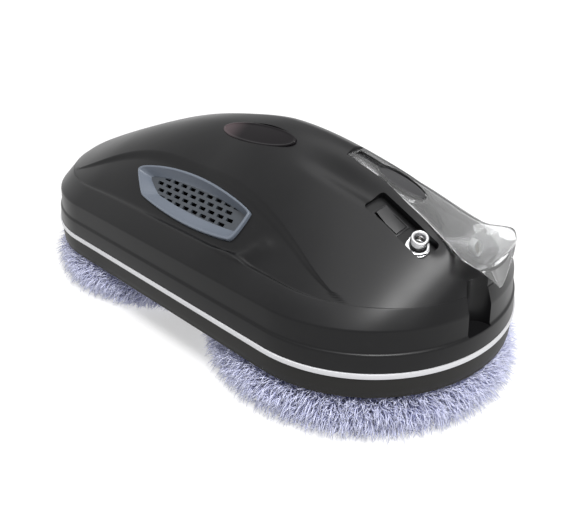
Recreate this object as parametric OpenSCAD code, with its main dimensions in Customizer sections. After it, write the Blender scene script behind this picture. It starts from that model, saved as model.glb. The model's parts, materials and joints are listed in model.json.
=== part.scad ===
// Window cleaning robot: a long domed body on two turning mop discs, with a suction fan and a water tank.
// X runs along the body towards the tank's tip, Z is up, and Z = 0 is the glass or floor under the pads.

/* [Body outline] */
// Length of the body, end to end
body_len = 342; // [330:1:360]
// Width of the body
body_w = 174; // [170:1:182]
// How far each rounded end reaches back along the body
end_depth = 82; // [76:1:88]
// Height of the skirt's lower edge
skirt_z = 25.4; // [25:0.1:27]
// Height of the lower casing's rim, under the trim strip
rim_z = 37; // [36.5:0.1:38]
// Height of the trim strip
strip_h = 3; // [2:0.1:3.5]
// How far the trim strip stands out past the casings
strip_proud = 0.8; // [0.4:0.1:1.2]

/* [Housing shape] */
// Height of the lip above the trim strip
lip_z = 49.5; // [48:0.1:51]
// Rise of the small ledge above the lip
ledge_rise = 1.2; // [0.6:0.1:1.5]
// Height of the top of the upright band
band_z = 61.6; // [60:0.1:63]
// How far the band stands in from the outline
band_inset = 4; // [3:0.1:5]
// Height of the shoulder at the ends
shoulder_end_z = 70; // [68:0.1:71]
// Height of the shoulder at the sides
shoulder_side_z = 69; // [68:0.1:71]
// How far the shoulder stands in at the ends
shoulder_end_inset = 7; // [6:0.1:8]
// How far the shoulder stands in at the sides
shoulder_side_inset = 16; // [14:0.1:17]
// Height of the dome's highest point before its ridge is softened
ridge_z = 125.4; // [123:0.1:127]
// Place of the highest point along the body
ridge_x = 26; // [20:1:30]
// Drop of the ridge at the back end
back_drop = 54.5; // [52:0.5:56]
// Drop of the ridge at the front end
front_drop = 35.8; // [34:0.1:37]
// How far across the ridge is softened
ridge_soft = 5; // [3:0.5:8]
// Wall of the moulded casings
wall = 2.6; // [2.2:0.1:3]

/* [Side bays] */
// Depth of the scooped bay in each flank
bay_depth = 3; // [2:0.1:4]
// Middle of the bay along the body
bay_x = -3; // [-8:1:4]
// Half the length of the bay
bay_half_len = 126; // [116:1:130]
// Depth of the shallow grooves on both sides of the ridge
groove_depth = 2; // [1:0.1:3]

/* [Side vents] */
// Length of the vent's frame
vent_len = 104; // [98:1:108]
// Height of the vent's frame along the slope
vent_h = 31; // [28:0.5:33]
// How much more the vent's face leans than the flank's slope there, in degrees
vent_tilt = -0.08; // [-4:0.01:4]
// How far in from the body's side the vent's middle sits
vent_y = 32.5; // [31:0.1:33]
// Height of the vent's middle against the flank's slope there
vent_z = -1.165; // [-2:0.005:1]
// Width of the frame's rim
vent_rim = 2.4; // [2:0.1:3]
// Depth of the frame
vent_depth = 6; // [5:0.1:7]
// Length of one slot in the grille
slot_len = 5.4; // [4:0.1:6]
// Height of one slot in the grille
slot_h = 2.8; // [2:0.1:3]

/* [Badge] */
// Length of the oval badge
badge_len = 59; // [50:1:62]
// Width of the oval badge
badge_w = 15; // [12:0.5:16]
// Thickness of the badge
badge_t = 1.2; // [0.8:0.1:1.4]

/* [Control tray] */
// Length of the tray's pocket
tray_len = 42; // [38:0.5:44]
// Width of the tray's pocket
tray_w = 13; // [12:0.1:14]
// Depth of the tray's floor below the housing's surface
tray_depth = 4; // [3:0.1:5]
// Length of the rocker switch's frame
switch_len = 18.5; // [17:0.1:19]
// Width of the rocker switch's frame
switch_w = 9.6; // [9:0.1:10]
// Swing of the rocker to each side of its middle, in degrees
rocker_swing = 7; // [4:0.5:8]
// Outer radius of the power socket's collar
socket_r = 4.4; // [4:0.1:4.8]
// Radius of the power socket's bore
socket_bore_r = 2.6; // [2.2:0.1:3]
// How far the collar stands above its nut
socket_h = 8; // [6:0.1:9]

/* [Water tank] */
// How far back from the front end the tank begins
tank_x0 = 95; // [93:1:97]
// How far back from the front end the tank's tip ends
tank_x1 = 2.5; // [2:0.5:4]
// Half the tank's width where it is widest
tank_half_w = 24; // [22:0.5:25]
// Height of the tank's top edge where it begins
tank_z = 116.8; // [116:0.1:118]
// Depth of the tank's floor below its top
tank_depth = 22; // [18:0.5:24]
// Wall of the tank
tank_wall = 1.6; // [1.2:0.1:2]
// Length of the plug's oval cap
plug_len = 31; // [28:0.5:33]
// Width of the plug's oval cap
plug_w = 12.5; // [11:0.5:13]
// Thickness of the plug's cap
plug_t = 3; // [2:0.1:3.5]
// Radius of the tank's filling hole
fill_r = 4.6; // [4:0.1:5]

/* [Cable notch] */
// Radius of the upright notch in the front end
notch_r = 8.5; // [7.5:0.1:9.5]
// Distance of the notch from the centre line
notch_y = 12.5; // [11:0.1:14]
// Height of the notch's floor
notch_z = 49.5; // [49:0.1:51]

/* [Mop discs] */
// Distance between the two discs' centres
disc_pitch = 168; // [167.6:0.1:169]
// Radius of the mop pad
pad_r = 83.6; // [81:0.1:83.6]
// Height of the mop pad
pad_h = 23.4; // [22:0.1:23.6]
// Thickness of the pad's pile and backing under the disc
pad_t = 12; // [10:0.1:13]
// Radius of the opening in the middle of the pad
pad_hole_r = 34; // [30:0.5:38]
// Radius of the disc
disc_r = 74; // [70:0.5:75]
// Thickness of the disc
disc_t = 7; // [5:0.1:7.5]
// Outer radius of the disc's hollow shaft
shaft_r = 20; // [18:0.5:21]
// Radius of the air passage through the shaft
port_r = 16; // [14:0.5:17]
// Outer radius of the shaft's bearing
bearing_r = 26; // [25:0.5:27]
// Height of the shaft's bearing
bearing_h = 10; // [8:0.5:10]

/* [Drive gears] */
// Module of all the gears
gear_module = 1.5; // [1.45:0.05:1.5]
// Teeth on each disc's gear
disc_teeth = 56; // [52:2:56]
// Teeth on the idler's small wheel
idler_small_teeth = 14; // [12:1:14]
// Teeth on the idler's large wheel
idler_large_teeth = 32; // [30:1:32]
// Teeth on the motor's pinion
pinion_teeth = 12; // [11:1:12]
// Face width of the disc's gear
gear_h = 6; // [5:0.1:6.2]
// Play between meshing teeth
gear_play = 0.3; // [0.2:0.05:0.4]
// Bearing of the idler seen from the disc's centre, in degrees from the body's middle
idler_angle = 60; // [57:1:62]
// Bearing of the motor seen from the idler, in degrees
motor_angle = -10; // [-14:1:-4]
// Radius of the idler's pin
idler_pin_r = 2.5; // [2:0.1:3]
// Radius of the motor's shaft
motor_shaft_r = 1.5; // [1.3:0.1:2]
// Radius of the drive motor's case
motor_r = 12; // [11:0.1:13]
// Length of the drive motor's case
motor_len = 24; // [20:0.5:25]

/* [Suction fan] */
// Radius of the fan's impeller
impeller_r = 32; // [28:0.5:33]
// Height of the impeller's blades
blade_h = 11; // [8:0.5:12]
// Number of impeller blades
blade_count = 9; // [7:1:11]
// Thickness of a blade
blade_t = 1.4; // [1:0.1:2]
// Height inside the fan's housing
fan_h = 20; // [19:0.5:21]
// Radius of the fan motor's case
fan_motor_r = 17; // [15:0.5:18]
// Length of the fan motor's case
fan_motor_len = 24; // [20:0.5:25]

/* [Inner parts] */
// Thickness of the inner frame
frame_t = 2; // [1.6:0.1:2.4]
// Length of the battery pack
battery_len = 58; // [50:1:60]
// Width of the battery pack
battery_w = 34; // [28:1:36]
// Height of the battery pack
battery_h = 19; // [17:0.5:20]
// Length of the circuit board
board_len = 62; // [50:1:64]
// Width of the circuit board
board_w = 34; // [28:1:36]
// Radius of a casing screw's shank
screw_r = 1.5; // [1.4:0.1:1.8]
// Radius of a casing screw's head
screw_head_r = 2.9; // [2.6:0.1:3.2]

/* [Hidden] */

// One overrun for every cut, and the clearances of the fits
cut = 1;
slip = 0.3;
run_fit = 0.05;
snug = 0.15;

// Outline: a straight middle with an elliptical arc at each end
half_len = body_len / 2;
half_w = body_w / 2;
straight_half = half_len - end_depth;
arc_share = 0.62;
arc_steps = 14;
side_steps = 8;
quarter_steps = arc_steps + side_steps;
outline_steps = 4 * quarter_steps;

function mix(a, b, t) = a + (b - a) * t;
function clamp(v, low, high) = min(max(v, low), high);
function ease(low, high, v) = let (t = clamp((v - low) / (high - low), 0, 1)) t * t * (3 - 2 * t);

// One quarter of the outline, its side straightened, at insets in X and Y; f runs from 0 at the tip to 1 at mid-side
function quarter(f, inset_x, inset_y) =
    f < arc_share
    ? [straight_half + (end_depth - inset_x) * cos(90 * f / arc_share),
       (half_w - inset_y) * sin(90 * f / arc_share)]
    : [straight_half * (1 - f) / (1 - arc_share), half_w - inset_y];

// Share of a quarter at step k, so that the arc and the side each keep whole steps
function step_share(k) =
    k <= arc_steps ? arc_share * k / arc_steps : arc_share + (1 - arc_share) * (k - arc_steps) / side_steps;

// Point i of the whole outline, counter-clockwise from the front tip
function rim(i, inset_x, inset_y) =
    let (q = floor(i / quarter_steps), k = i - q * quarter_steps,
         f = step_share(q % 2 == 0 ? k : quarter_steps - k),
         p = quarter(f, inset_x, inset_y))
    [q == 0 || q == 3 ? p.x : -p.x, q < 2 ? p.y : -p.y];

function ring_outline(inset_x, inset_y) = [for (i = [0:outline_steps - 1]) rim(i, inset_x, inset_y)];

// Shoulder, where the upright band meets the dome
shoulder_half_w = half_w - shoulder_side_inset;
shoulder_half_len = half_len - shoulder_end_inset;
shoulder_end_depth = end_depth - shoulder_end_inset;

function past_straight_share(x) = clamp((abs(x) - straight_half) / shoulder_end_depth, 0, 1);
function shoulder_w(x) = shoulder_half_w * sqrt(1 - pow(past_straight_share(x), 2));
function shoulder_z(x) = mix(shoulder_side_z, shoulder_end_z, pow(past_straight_share(x), 2));

// Ridge of the dome along the body, rounded down to the shoulder at both ends
back_power = 1.49;
front_power = 1.9;
end_power = 5;
back_fade_share = 0.9;
front_fade_share = 0.88;
function ridge_drop(x) =
    x < ridge_x
    ? back_drop * pow((ridge_x - x) / (shoulder_half_len + ridge_x), back_power)
    : front_drop * pow((x - ridge_x) / (shoulder_half_len - ridge_x), front_power);
function end_fade(x) =
    let (start = (x < 0 ? back_fade_share : front_fade_share) * shoulder_half_len,
         t = clamp((abs(x) - start) / (shoulder_half_len - start), 0, 1))
    pow(1 - pow(t, end_power), 1 / 2);

// Dome height above the plan point, before any bay or groove
back_section_power = 2.2;
middle_section_power = 1.14;
front_section_power = 0.96;
function section_power(x) =
    let (s = x / shoulder_half_len)
    mix(mix(back_section_power, middle_section_power, ease(-0.6, 0, s)), front_section_power, ease(0.1, 0.6, s));
function across_share(x, y) =
    let (w = shoulder_w(x))
    w < ridge_soft ? 1 : clamp((sqrt(y * y + ridge_soft * ridge_soft) - ridge_soft) / (w - ridge_soft), 0, 1);
function dome_z(x, y) =
    let (base = shoulder_z(x), rise = ridge_z - ridge_drop(x) - base)
    base + rise * end_fade(x) * (1 - pow(across_share(x, y), section_power(x)));

// Upper crease of a bay, as a share of the shoulder's width
crease_low_share = 0.51;
crease_turn_share = -0.13;
crease_power = 2.4;
function crease_share(x) =
    let (u = clamp((x - bay_x) / bay_half_len, -1, 1),
         t = u < crease_turn_share
             ? (crease_turn_share - u) / (1 + crease_turn_share)
             : (u - crease_turn_share) / (1 - crease_turn_share))
    mix(crease_low_share, 1, pow(t, crease_power));

// Depth of a bay: full over most of the bay's slope, and faded out to its creases and its ends
bay_end_power = 4;
bay_wall_share = 0.16;
bay_lip_share = 0.86;
function bay_cut(x, y) =
    let (crease = crease_share(x), r = across_share(x, y),
         v = crease > 0.99 ? 0 : (r - crease) / (1 - crease),
         u = clamp(abs(x - bay_x) / bay_half_len, 0, 1))
    v <= 0 ? 0
    : bay_depth * (1 - pow(u, bay_end_power)) * ease(0, bay_wall_share, v) * (1 - ease(bay_lip_share, 1, v));

// Groove on each side of the ridge, from the badge's front end to the tray and fading out before the tip
groove_x0_share = 0.3;
groove_x1_share = 0.9;
groove_top_share = 0.09;
groove_edge_share = 0.34;
function groove_cut(x, y) =
    let (s = x / shoulder_half_len,
         along = ease(groove_x0_share, 2 * groove_x0_share, s) * (1 - ease(groove_x1_share - 0.06, groove_x1_share, s)),
         r = abs(y) / shoulder_half_w,
         v = (r - groove_top_share) / (groove_edge_share - groove_top_share))
    v <= 0 || v >= 1 ? 0 : groove_depth * along * ease(0, 0.8, v) * (1 - ease(0.86, 1, v));

function skin_z(x, y) = dome_z(x, y) - bay_cut(x, y) - groove_cut(x, y);

// Plan shares of the dome's rings, from the shoulder in to the ridge, with some set along the bay's upper crease
bay_ring_shares = [1, 0.94, 0.86, 0.62, 0.38, 0.16, 0.08, 0];
top_ring_shares = [0.88, 0.76, 0.63, 0.5, 0.38, 0.26, 0.16, 0.08];
ridge_reach_share = 0.94;
function ring_share(j, x) =
    let (n = len(bay_ring_shares), crease = min(crease_share(x), 0.93))
    j < n ? mix(crease, 1, bay_ring_shares[j]) : crease * top_ring_shares[j - n];
dome_rings = len(bay_ring_shares) + len(top_ring_shares);
function dome_point(i, j, sink) =
    let (p = rim(i, shoulder_end_inset, shoulder_side_inset), r = ring_share(j, p.x),
         x = p.x * mix(ridge_reach_share, 1, r), y = p.y * r)
    [x, y, (j == 0 ? shoulder_z(p.x) : skin_z(x, y)) - sink];
function ridge_point(i, sink) =
    let (p = rim(i, shoulder_end_inset, shoulder_side_inset), x = p.x * ridge_reach_share)
    [x, 0, skin_z(x, 0) - sink];
function level_ring(inset, z) = [for (i = [0:outline_steps - 1]) let (p = rim(i, inset, inset)) [p.x, p.y, z]];

// Closed skin from a stack of rings, with the last ring folded onto the ridge and the first one flat
module ring_solid(rings) {
    n = outline_steps;
    last = len(rings) - 1;
    half = n / 2;
    points = [for (ring = rings) each ring];
    sides = [for (r = [0:last - 1]) for (i = [0:n - 1])
        let (a = r * n + i, b = r * n + (i + 1) % n, c = a + n, d = b + n)
        each [[a, c, b], [b, c, d]]];
    fold = [for (i = [1:half - 1])
        let (a = last * n + i, b = last * n + i + 1, c = last * n + n - i, d = last * n + (n - i - 1) % n)
        each i < half - 1 ? [[a, c, b], [b, c, d]] : [[a, c, b]]];
    tip = [[last * n, last * n + n - 1, last * n + 1]];
    foot = [[for (i = [0:n - 1]) i]];
    polyhedron(points, concat(sides, tip, fold, foot));
}

// Outer form of the housing, down to the trim strip
strip_top_z = rim_z + strip_h;
lip_step = 1;
lip_inset = strip_proud + lip_step;
module housing_form() {
    ring_solid(concat(
        [level_ring(strip_proud, strip_top_z), level_ring(lip_inset, lip_z),
         level_ring(lip_inset + ledge_rise, lip_z + ledge_rise / 2), level_ring(band_inset, band_z)],
        [for (j = [0:dome_rings - 1]) [for (i = [0:outline_steps - 1]) dome_point(i, j, 0)]]));
}

// Room inside the housing, one wall in from its outer form
roof_sink = wall * 1.3;
module housing_room() {
    inner_rings = [2, 4, 7, 9, 11, 13, 15];
    ring_solid(concat(
        [level_ring(lip_inset + wall, strip_top_z - cut), level_ring(lip_inset + wall, lip_z),
         level_ring(band_inset + wall, band_z - wall / 2)],
        [for (j = inner_rings) [for (i = [0:outline_steps - 1]) dome_point(i, j, roof_sink)]]));
}

// Loft between rings of equal count that stand along X
module loft(rings) {
    n = len(rings[0]);
    m = len(rings);
    polyhedron([for (ring = rings) each ring], concat(
        [for (r = [0:m - 2]) for (i = [0:n - 1])
            let (a = r * n + i, b = r * n + (i + 1) % n, c = a + n, d = b + n)
            each [[a, c, b], [b, c, d]]],
        [[for (i = [0:n - 1]) i]], [[for (i = [n - 1:-1:0]) (m - 1) * n + i]]));
}

// Tank: half-width and top edge along its length, as shares of its widest half and of its height over the front
// shoulder, with a flared brow near the front and a pointed tip
tank_span = tank_x0 - tank_x1;
tank_start_x = half_len - tank_x0;
tank_w_shares = [[0, 0.3], [0.13, 0.33], [0.24, 0.355], [0.35, 0.415], [0.46, 0.48], [0.57, 0.53], [0.68, 0.6],
    [0.79, 0.75], [0.85, 0.91], [0.9, 1], [0.935, 0.91], [0.96, 0.73], [0.98, 0.5], [1, 0.11]];
tank_edge_shares = [[0, 1], [0.13, 0.938], [0.24, 0.871], [0.35, 0.793], [0.46, 0.711], [0.57, 0.628], [0.68, 0.538],
    [0.79, 0.463], [0.85, 0.452], [0.9, 0.44], [0.935, 0.4], [0.96, 0.32], [0.98, 0.22], [1, 0.04]];
tank_keel_share = 0.21;
tank_crown_share = 0.07;
tank_lip = 1;
function tank_w(t) = tank_half_w * lookup(t, tank_w_shares);
function tank_edge_z(t) = mix(shoulder_end_z, tank_z, lookup(t, tank_edge_shares));
function tank_crown(t) = tank_crown_share * tank_w(t);
function tank_keel_z(t) =
    min(tank_edge_z(t) - tank_lip, max(tank_edge_z(t) - tank_depth,
        mix(shoulder_end_z, tank_z, mix(tank_keel_share, 0, clamp((t - brow_share) / (1 - brow_share), 0, 1)))));
brow_share = 0.96;
tank_arc_steps = 6;
function tank_ring(t, grow, lift) =
    let (x = tank_start_x + tank_span * t + (t == 0 ? -grow : t == 1 ? grow : 0), w = max(tank_w(t) + grow, slip),
         top = tank_edge_z(t) + grow, keel = tank_keel_z(t) - grow,
         drop = mix(tank_side_h, tank_lip, ease(0, brow_share, t)),
         side = max(top - drop - 2 * grow, keel + slip / 2), low = min(side, top - slip / 2))
    concat(
        [[x, -w, low], [x, -w * tank_keel_half_share, keel], [x, w * tank_keel_half_share, keel], [x, w, low]],
        [for (k = [0:tank_arc_steps]) let (s = 1 - 2 * k / tank_arc_steps)
            [x, w * s, top + lift + tank_crown(t) * (1 - s * s)]]);
tank_side_h = 5;
tank_keel_half_share = 0.3;
module tank_form(grow, lift) {
    loft([for (s = tank_w_shares) tank_ring(s.x, grow, lift)]);
}

// Frame of the control tray, tilted to the flank of the dome
tray_in = 49.2;
tray_x = half_len - tray_in;
tray_y = -20.5;
tray_z = skin_z(tray_x, tray_y);
tray_roll = 19.5;
tray_pitch = 23.2;
tray_yaw = -5.5;
module at_tray() translate([tray_x, tray_y, tray_z]) rotate([tray_roll, tray_pitch, tray_yaw]) children();
tray_corner_r = tray_w / 5;
module tray_plan(grow) {
    hull() for (sx = [-1, 1]) for (sy = [-1, 1])
        translate([sx * (tray_len / 2 - tray_corner_r), sy * (tray_w / 2 - tray_corner_r)])
            circle(r = tray_corner_r + grow, $fn = 16);
}
switch_x = -tray_len * 0.17;
socket_x = tray_len * 0.3;

// Frame of a side vent, tilted to the bay's floor; side is -1 on the control side and 1 on the other
vent_x = -7;
vent_mid_y = half_w - vent_y;
flank_low_z = dome_z(vent_x, vent_mid_y + vent_h / 2);
flank_high_z = dome_z(vent_x, vent_mid_y - vent_h / 2);
vent_mid_z = (flank_low_z + flank_high_z) / 2 + vent_z;
vent_lean = atan2(flank_high_z - flank_low_z, vent_h) + vent_tilt;
module at_vent(side) {
    if (side < 0) translate([vent_x, -vent_mid_y, vent_mid_z]) rotate([vent_lean, 0, 0]) children();
    else mirror([0, 1, 0]) translate([vent_x, -vent_mid_y, vent_mid_z]) rotate([vent_lean, 0, 0]) children();
}

// Vent outline: shares of its length and height, counter-clockwise from the lower left
vent_outline_shares = [
    [-0.31, -0.34], [-0.05, -0.46], [0.2, -0.49], [0.44, -0.42], [0.485, -0.36],
    [0.5, 0.18], [0.485, 0.25], [0.34, 0.37], [0.14, 0.47], [-0.06, 0.5], [-0.28, 0.44], [-0.46, 0.29],
    [-0.5, 0.2], [-0.495, 0.12], [-0.35, -0.28]];
module vent_plan(inset) {
    offset(delta = -inset) polygon([for (s = vent_outline_shares) [s.x * vent_len, s.y * vent_h]]);
}
vent_proud = 1;
vent_shelf = 3.4;
vent_floor_inset = vent_rim + vent_shelf;

// Badge frame, tilted to the dome beside the ridge
badge_x = 15.5;
badge_y = -15.5;
badge_z = skin_z(badge_x, badge_y);
badge_roll = 35;
badge_pitch = -3.5;
badge_yaw = 1;
module at_badge() translate([badge_x, badge_y, badge_z]) rotate([badge_roll, badge_pitch, badge_yaw]) children();
oval_steps = 48;
module oval(length, width) {
    polygon([for (i = [0:oval_steps - 1]) let (a = 360 * i / oval_steps) [length / 2 * cos(a), width / 2 * sin(a)]]);
}
badge_sink = 0.6;

// Heights of the drive, from the floor up
disc_z = pad_t;
disc_top_z = disc_z + disc_t;
skirt_lip = 1.6;
plate_z = skirt_z + skirt_lip;
bearing_z = plate_z;
bearing_top_z = bearing_z + bearing_h;
gear_gap = 2;
gear_z = bearing_top_z + gear_gap;
gear_top_z = gear_z + gear_h;
shaft_top_z = gear_top_z + gear_gap / 2;
duct_z = shaft_top_z + slip;
duct_h = 6.5;
frame_z = duct_z + duct_h;
frame_top_z = frame_z + frame_t;
disc_x = disc_pitch / 2;

// Places of the drive's axes, for the front disc; the rear ones are turned half round
disc_gear_r = gear_module * disc_teeth / 2;
idler_small_r = gear_module * idler_small_teeth / 2;
idler_large_r = gear_module * idler_large_teeth / 2;
pinion_r = gear_module * pinion_teeth / 2;
idler_reach = disc_gear_r + idler_small_r;
idler_x = disc_x - idler_reach * cos(idler_angle);
idler_y = idler_reach * sin(idler_angle);
motor_reach = idler_large_r + pinion_r;
motor_x = idler_x + motor_reach * cos(motor_angle);
motor_y = idler_y + motor_reach * sin(motor_angle);
module rear() rotate([0, 0, 180]) children();

// Screws of the casing: four near the ends and two at mid-side
screw_end_x = shoulder_half_len * 0.84;
screw_end_y = shoulder_half_w * 0.62;
screw_side_y = shoulder_half_w + wall * 1.6;
screw_places = [[screw_end_x, screw_end_y], [screw_end_x, -screw_end_y], [-screw_end_x, screw_end_y],
    [-screw_end_x, -screw_end_y], [0, screw_side_y], [0, -screw_side_y]];
screw_boss_r = screw_head_r + wall * 0.3;
screw_len = 24;

// Posts that carry the inner frame
post_r = 4;
post_places = [[shoulder_half_len * 0.1, shoulder_half_w * 0.86], [-shoulder_half_len * 0.1, shoulder_half_w * 0.86],
    [shoulder_half_len * 0.1, -shoulder_half_w * 0.86], [-shoulder_half_len * 0.1, -shoulder_half_w * 0.86],
    [disc_x + disc_gear_r + 2 * post_r + gear_module, 0], [-disc_x - disc_gear_r - 2 * post_r - gear_module, 0]];

fan_gap = 4;
fan_r = impeller_r + fan_gap;
fan_z = frame_top_z;
fan_top_z = fan_z + wall + fan_h;

notch_inset = 5;
notch_rise = 7;
notch_x = half_len - notch_inset;
notch_top_z = shoulder_end_z + notch_rise;
module notch_cut(grow) {
    translate([notch_x, -notch_y, notch_z - grow]) {
        cylinder(h = notch_top_z - notch_z + grow, r = notch_r + grow, $fn = 40);
        translate([0, -notch_r - grow, 0]) cube([half_len, 2 * (notch_r + grow), notch_top_z - notch_z + grow]);
    }
}

module upper_housing() {
    color([0.07, 0.07, 0.08]) difference() {
        housing_form();
        difference() {
            housing_room();
            notch_cut(wall);
            at_tray() translate([0, 0, -tray_depth - wall]) linear_extrude(tray_depth * 3) tray_plan(wall);
            tank_form(slip + wall, 0);
            for (p = screw_places) translate([p.x, p.y, 0]) cylinder(h = ridge_z, r = screw_boss_r, $fn = 24);
        }
        notch_cut(0);
        tank_form(slip, ridge_soft * 4);
        at_tray() translate([0, 0, -tray_depth]) linear_extrude(tray_depth * 3) tray_plan(0);
        at_tray() translate([switch_x, 0, -tray_depth - 2 * wall])
            translate([-switch_len / 2 + snug * 4, -switch_w / 2 + snug * 4, 0])
            cube([switch_len - snug * 8, switch_w - snug * 8, 3 * wall]);
        at_tray() translate([socket_x, 0, -tray_depth - 4 * wall]) cylinder(h = 5 * wall, r = socket_r + snug, $fn = 32);
        at_badge() translate([0, 0, -badge_sink - badge_t]) linear_extrude(2 * wall) oval(badge_len, badge_w);
        for (side = [-1, 1]) at_vent(side) translate([0, 0, -vent_depth - slip])
            linear_extrude(3 * vent_depth) hull() vent_plan(-snug);
        for (p = screw_places) translate([p.x, p.y, 0])
            cylinder(h = plate_z + screw_len + slip, r = screw_r + snug, $fn = 24);
    }
}

// Lower casing: skirt, floor plate, bearing seats, pin seats, frame posts and screw bosses
rim_lip_inset = lip_inset + wall + slip;
module lower_casing() {
    color([0.1, 0.1, 0.1]) difference() {
        union() {
            difference() {
                translate([0, 0, skirt_z]) linear_extrude(rim_z - skirt_z)
                    polygon(ring_outline(strip_proud, strip_proud));
                translate([0, 0, plate_z + wall]) linear_extrude(rim_z)
                    polygon(ring_outline(rim_lip_inset + wall, rim_lip_inset + wall));
                translate([0, 0, skirt_z - cut]) linear_extrude(plate_z - skirt_z + cut)
                    polygon(ring_outline(strip_proud + wall, strip_proud + wall));
            }
            difference() {
                translate([0, 0, rim_z - slip]) linear_extrude(strip_h + wall)
                    polygon(ring_outline(rim_lip_inset, rim_lip_inset));
                translate([0, 0, rim_z - cut]) linear_extrude(strip_h + 3 * wall)
                    polygon(ring_outline(rim_lip_inset + wall, rim_lip_inset + wall));
            }
            for (sx = [-1, 1]) translate([sx * disc_x, 0, plate_z])
                cylinder(h = bearing_h, r = bearing_r + wall, $fn = 96);
            for (p = post_places) translate([p.x, p.y, plate_z]) cylinder(h = frame_z - plate_z, r = post_r, $fn = 32);
            for (p = screw_places) translate([p.x, p.y, plate_z])
                cylinder(h = strip_top_z - plate_z, r = screw_boss_r, $fn = 32);
            for (s = [1, -1]) translate([s * idler_x, s * idler_y, plate_z])
                cylinder(h = gear_z - slip - plate_z, r = 2 * idler_pin_r, $fn = 32);
        }
        for (sx = [-1, 1]) translate([sx * disc_x, 0, plate_z - cut])
            cylinder(h = bearing_h + 2 * cut, r = bearing_r, $fn = 96);
        for (p = screw_places) translate([p.x, p.y, plate_z - cut]) {
            cylinder(h = strip_top_z, r = screw_r + snug, $fn = 24);
            cylinder(h = wall / 2 + cut, r = screw_head_r + snug, $fn = 24);
        }
        for (s = [1, -1]) translate([s * idler_x, s * idler_y, plate_z + wall / 2])
            cylinder(h = gear_z, r = idler_pin_r + snug / 10, $fn = 32);
        notch_cut(wall + slip);
    }
}

module trim_strip() {
    color([0.85, 0.86, 0.88]) difference() {
        translate([0, 0, rim_z]) linear_extrude(strip_h) polygon(ring_outline(0, 0));
        translate([0, 0, rim_z - cut]) linear_extrude(strip_h + 2 * cut)
            polygon(ring_outline(rim_lip_inset - slip, rim_lip_inset - slip));
    }
}

// Inner frame: a plate over the duct that carries the motors, the fan, the battery and the circuit board
frame_gap = 8;
frame_inset = lip_inset + wall + frame_gap;
board_x = 74;
board_side_gap = 39;
board_y = board_side_gap - half_w;
board_lift = 5;
board_t = 1.6;
battery_x = -74;
battery_side_gap = 51;
battery_y = half_w - battery_side_gap;
module inner_frame() {
    color([0.3, 0.3, 0.32]) {
        difference() {
            translate([0, 0, frame_z]) linear_extrude(frame_t) polygon(ring_outline(frame_inset, frame_inset));
            translate([0, 0, frame_z - cut]) cylinder(h = frame_t + 2 * cut, r = port_r + wall, $fn = 64);
            for (s = [1, -1]) {
                translate([s * motor_x, s * motor_y, frame_z - cut])
                    cylinder(h = frame_t + 2 * cut, r = 2 * motor_shaft_r, $fn = 32);
                translate([s * idler_x, s * idler_y, frame_z - cut])
                    cylinder(h = frame_t + 2 * cut, r = idler_pin_r + snug / 10, $fn = 32);
            }
            for (p = screw_places) translate([p.x, p.y, frame_z - cut])
                cylinder(h = frame_t + 2 * cut, r = screw_boss_r + wall, $fn = 32);
            notch_cut(wall * 2);
        }
        for (sx = [-1, 1]) for (sy = [-1, 1])
            translate([board_x + sx * board_len * 0.4, board_y + sy * board_w * 0.36, frame_top_z])
                cylinder(h = board_lift, r = wall, $fn = 24);
    }
}

module duct_plan(grow) {
    for (sx = [-1, 1]) translate([sx * disc_x, 0]) circle(r = shaft_r + wall + grow, $fn = 64);
    square([disc_pitch, 2 * (port_r + grow)], center = true);
}
module suction_duct() {
    color([0.35, 0.35, 0.37]) difference() {
        translate([0, 0, duct_z]) linear_extrude(duct_h) duct_plan(0);
        translate([0, 0, duct_z + wall / 2]) linear_extrude(duct_h - wall) duct_plan(-wall);
        for (sx = [-1, 1]) translate([sx * disc_x, 0, duct_z - cut]) cylinder(h = wall + cut, r = port_r, $fn = 64);
        translate([0, 0, duct_z + duct_h - wall]) cylinder(h = wall + cut, r = port_r - wall, $fn = 64);
    }
}

// Blue-grey frame of a vent, with sloping inner walls down to the grille
module vent_frame(side) {
    color([0.42, 0.47, 0.55]) at_vent(side) difference() {
        translate([0, 0, -vent_depth]) linear_extrude(vent_depth + vent_proud) vent_plan(0);
        for (k = [0:3])
            translate([0, 0, vent_proud - vent_rim / 2 - vent_depth * k / 4])
                linear_extrude(vent_depth * 2) vent_plan(mix(vent_rim, vent_floor_inset, k / 3));
        translate([0, 0, -vent_depth - cut]) linear_extrude(vent_depth) vent_plan(vent_floor_inset);
    }
}
module vent_frame_left() vent_frame(-1);
module vent_frame_right() vent_frame(1);

// Grille behind the vent frame: rows of short slots, each row half a pitch on from the last
slot_pitch = slot_len * 1.55;
slot_row_pitch = slot_h * 1.75;
slot_rows = 4;
slot_columns = 9;
grille_t = 1.4;
module vent_grille(side) {
    color([0.32, 0.35, 0.4]) at_vent(side) translate([0, 0, -vent_depth]) difference() {
        linear_extrude(grille_t) vent_plan(vent_floor_inset + snug);
        for (row = [0:slot_rows - 1]) for (k = [0:slot_columns - 1])
            translate([(k - slot_columns / 2) * slot_pitch + (row % 2) * slot_pitch / 2,
                       (row - slot_rows / 2) * slot_row_pitch, -cut])
                cube([slot_len, slot_h, grille_t + 2 * cut]);
    }
}
module vent_grille_left() vent_grille(-1);
module vent_grille_right() vent_grille(1);

module badge_plate() {
    color([0.05, 0.05, 0.06]) at_badge() translate([0, 0, -badge_sink - badge_t])
        linear_extrude(badge_t) oval(badge_len - 2 * snug, badge_w - 2 * snug);
}

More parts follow.
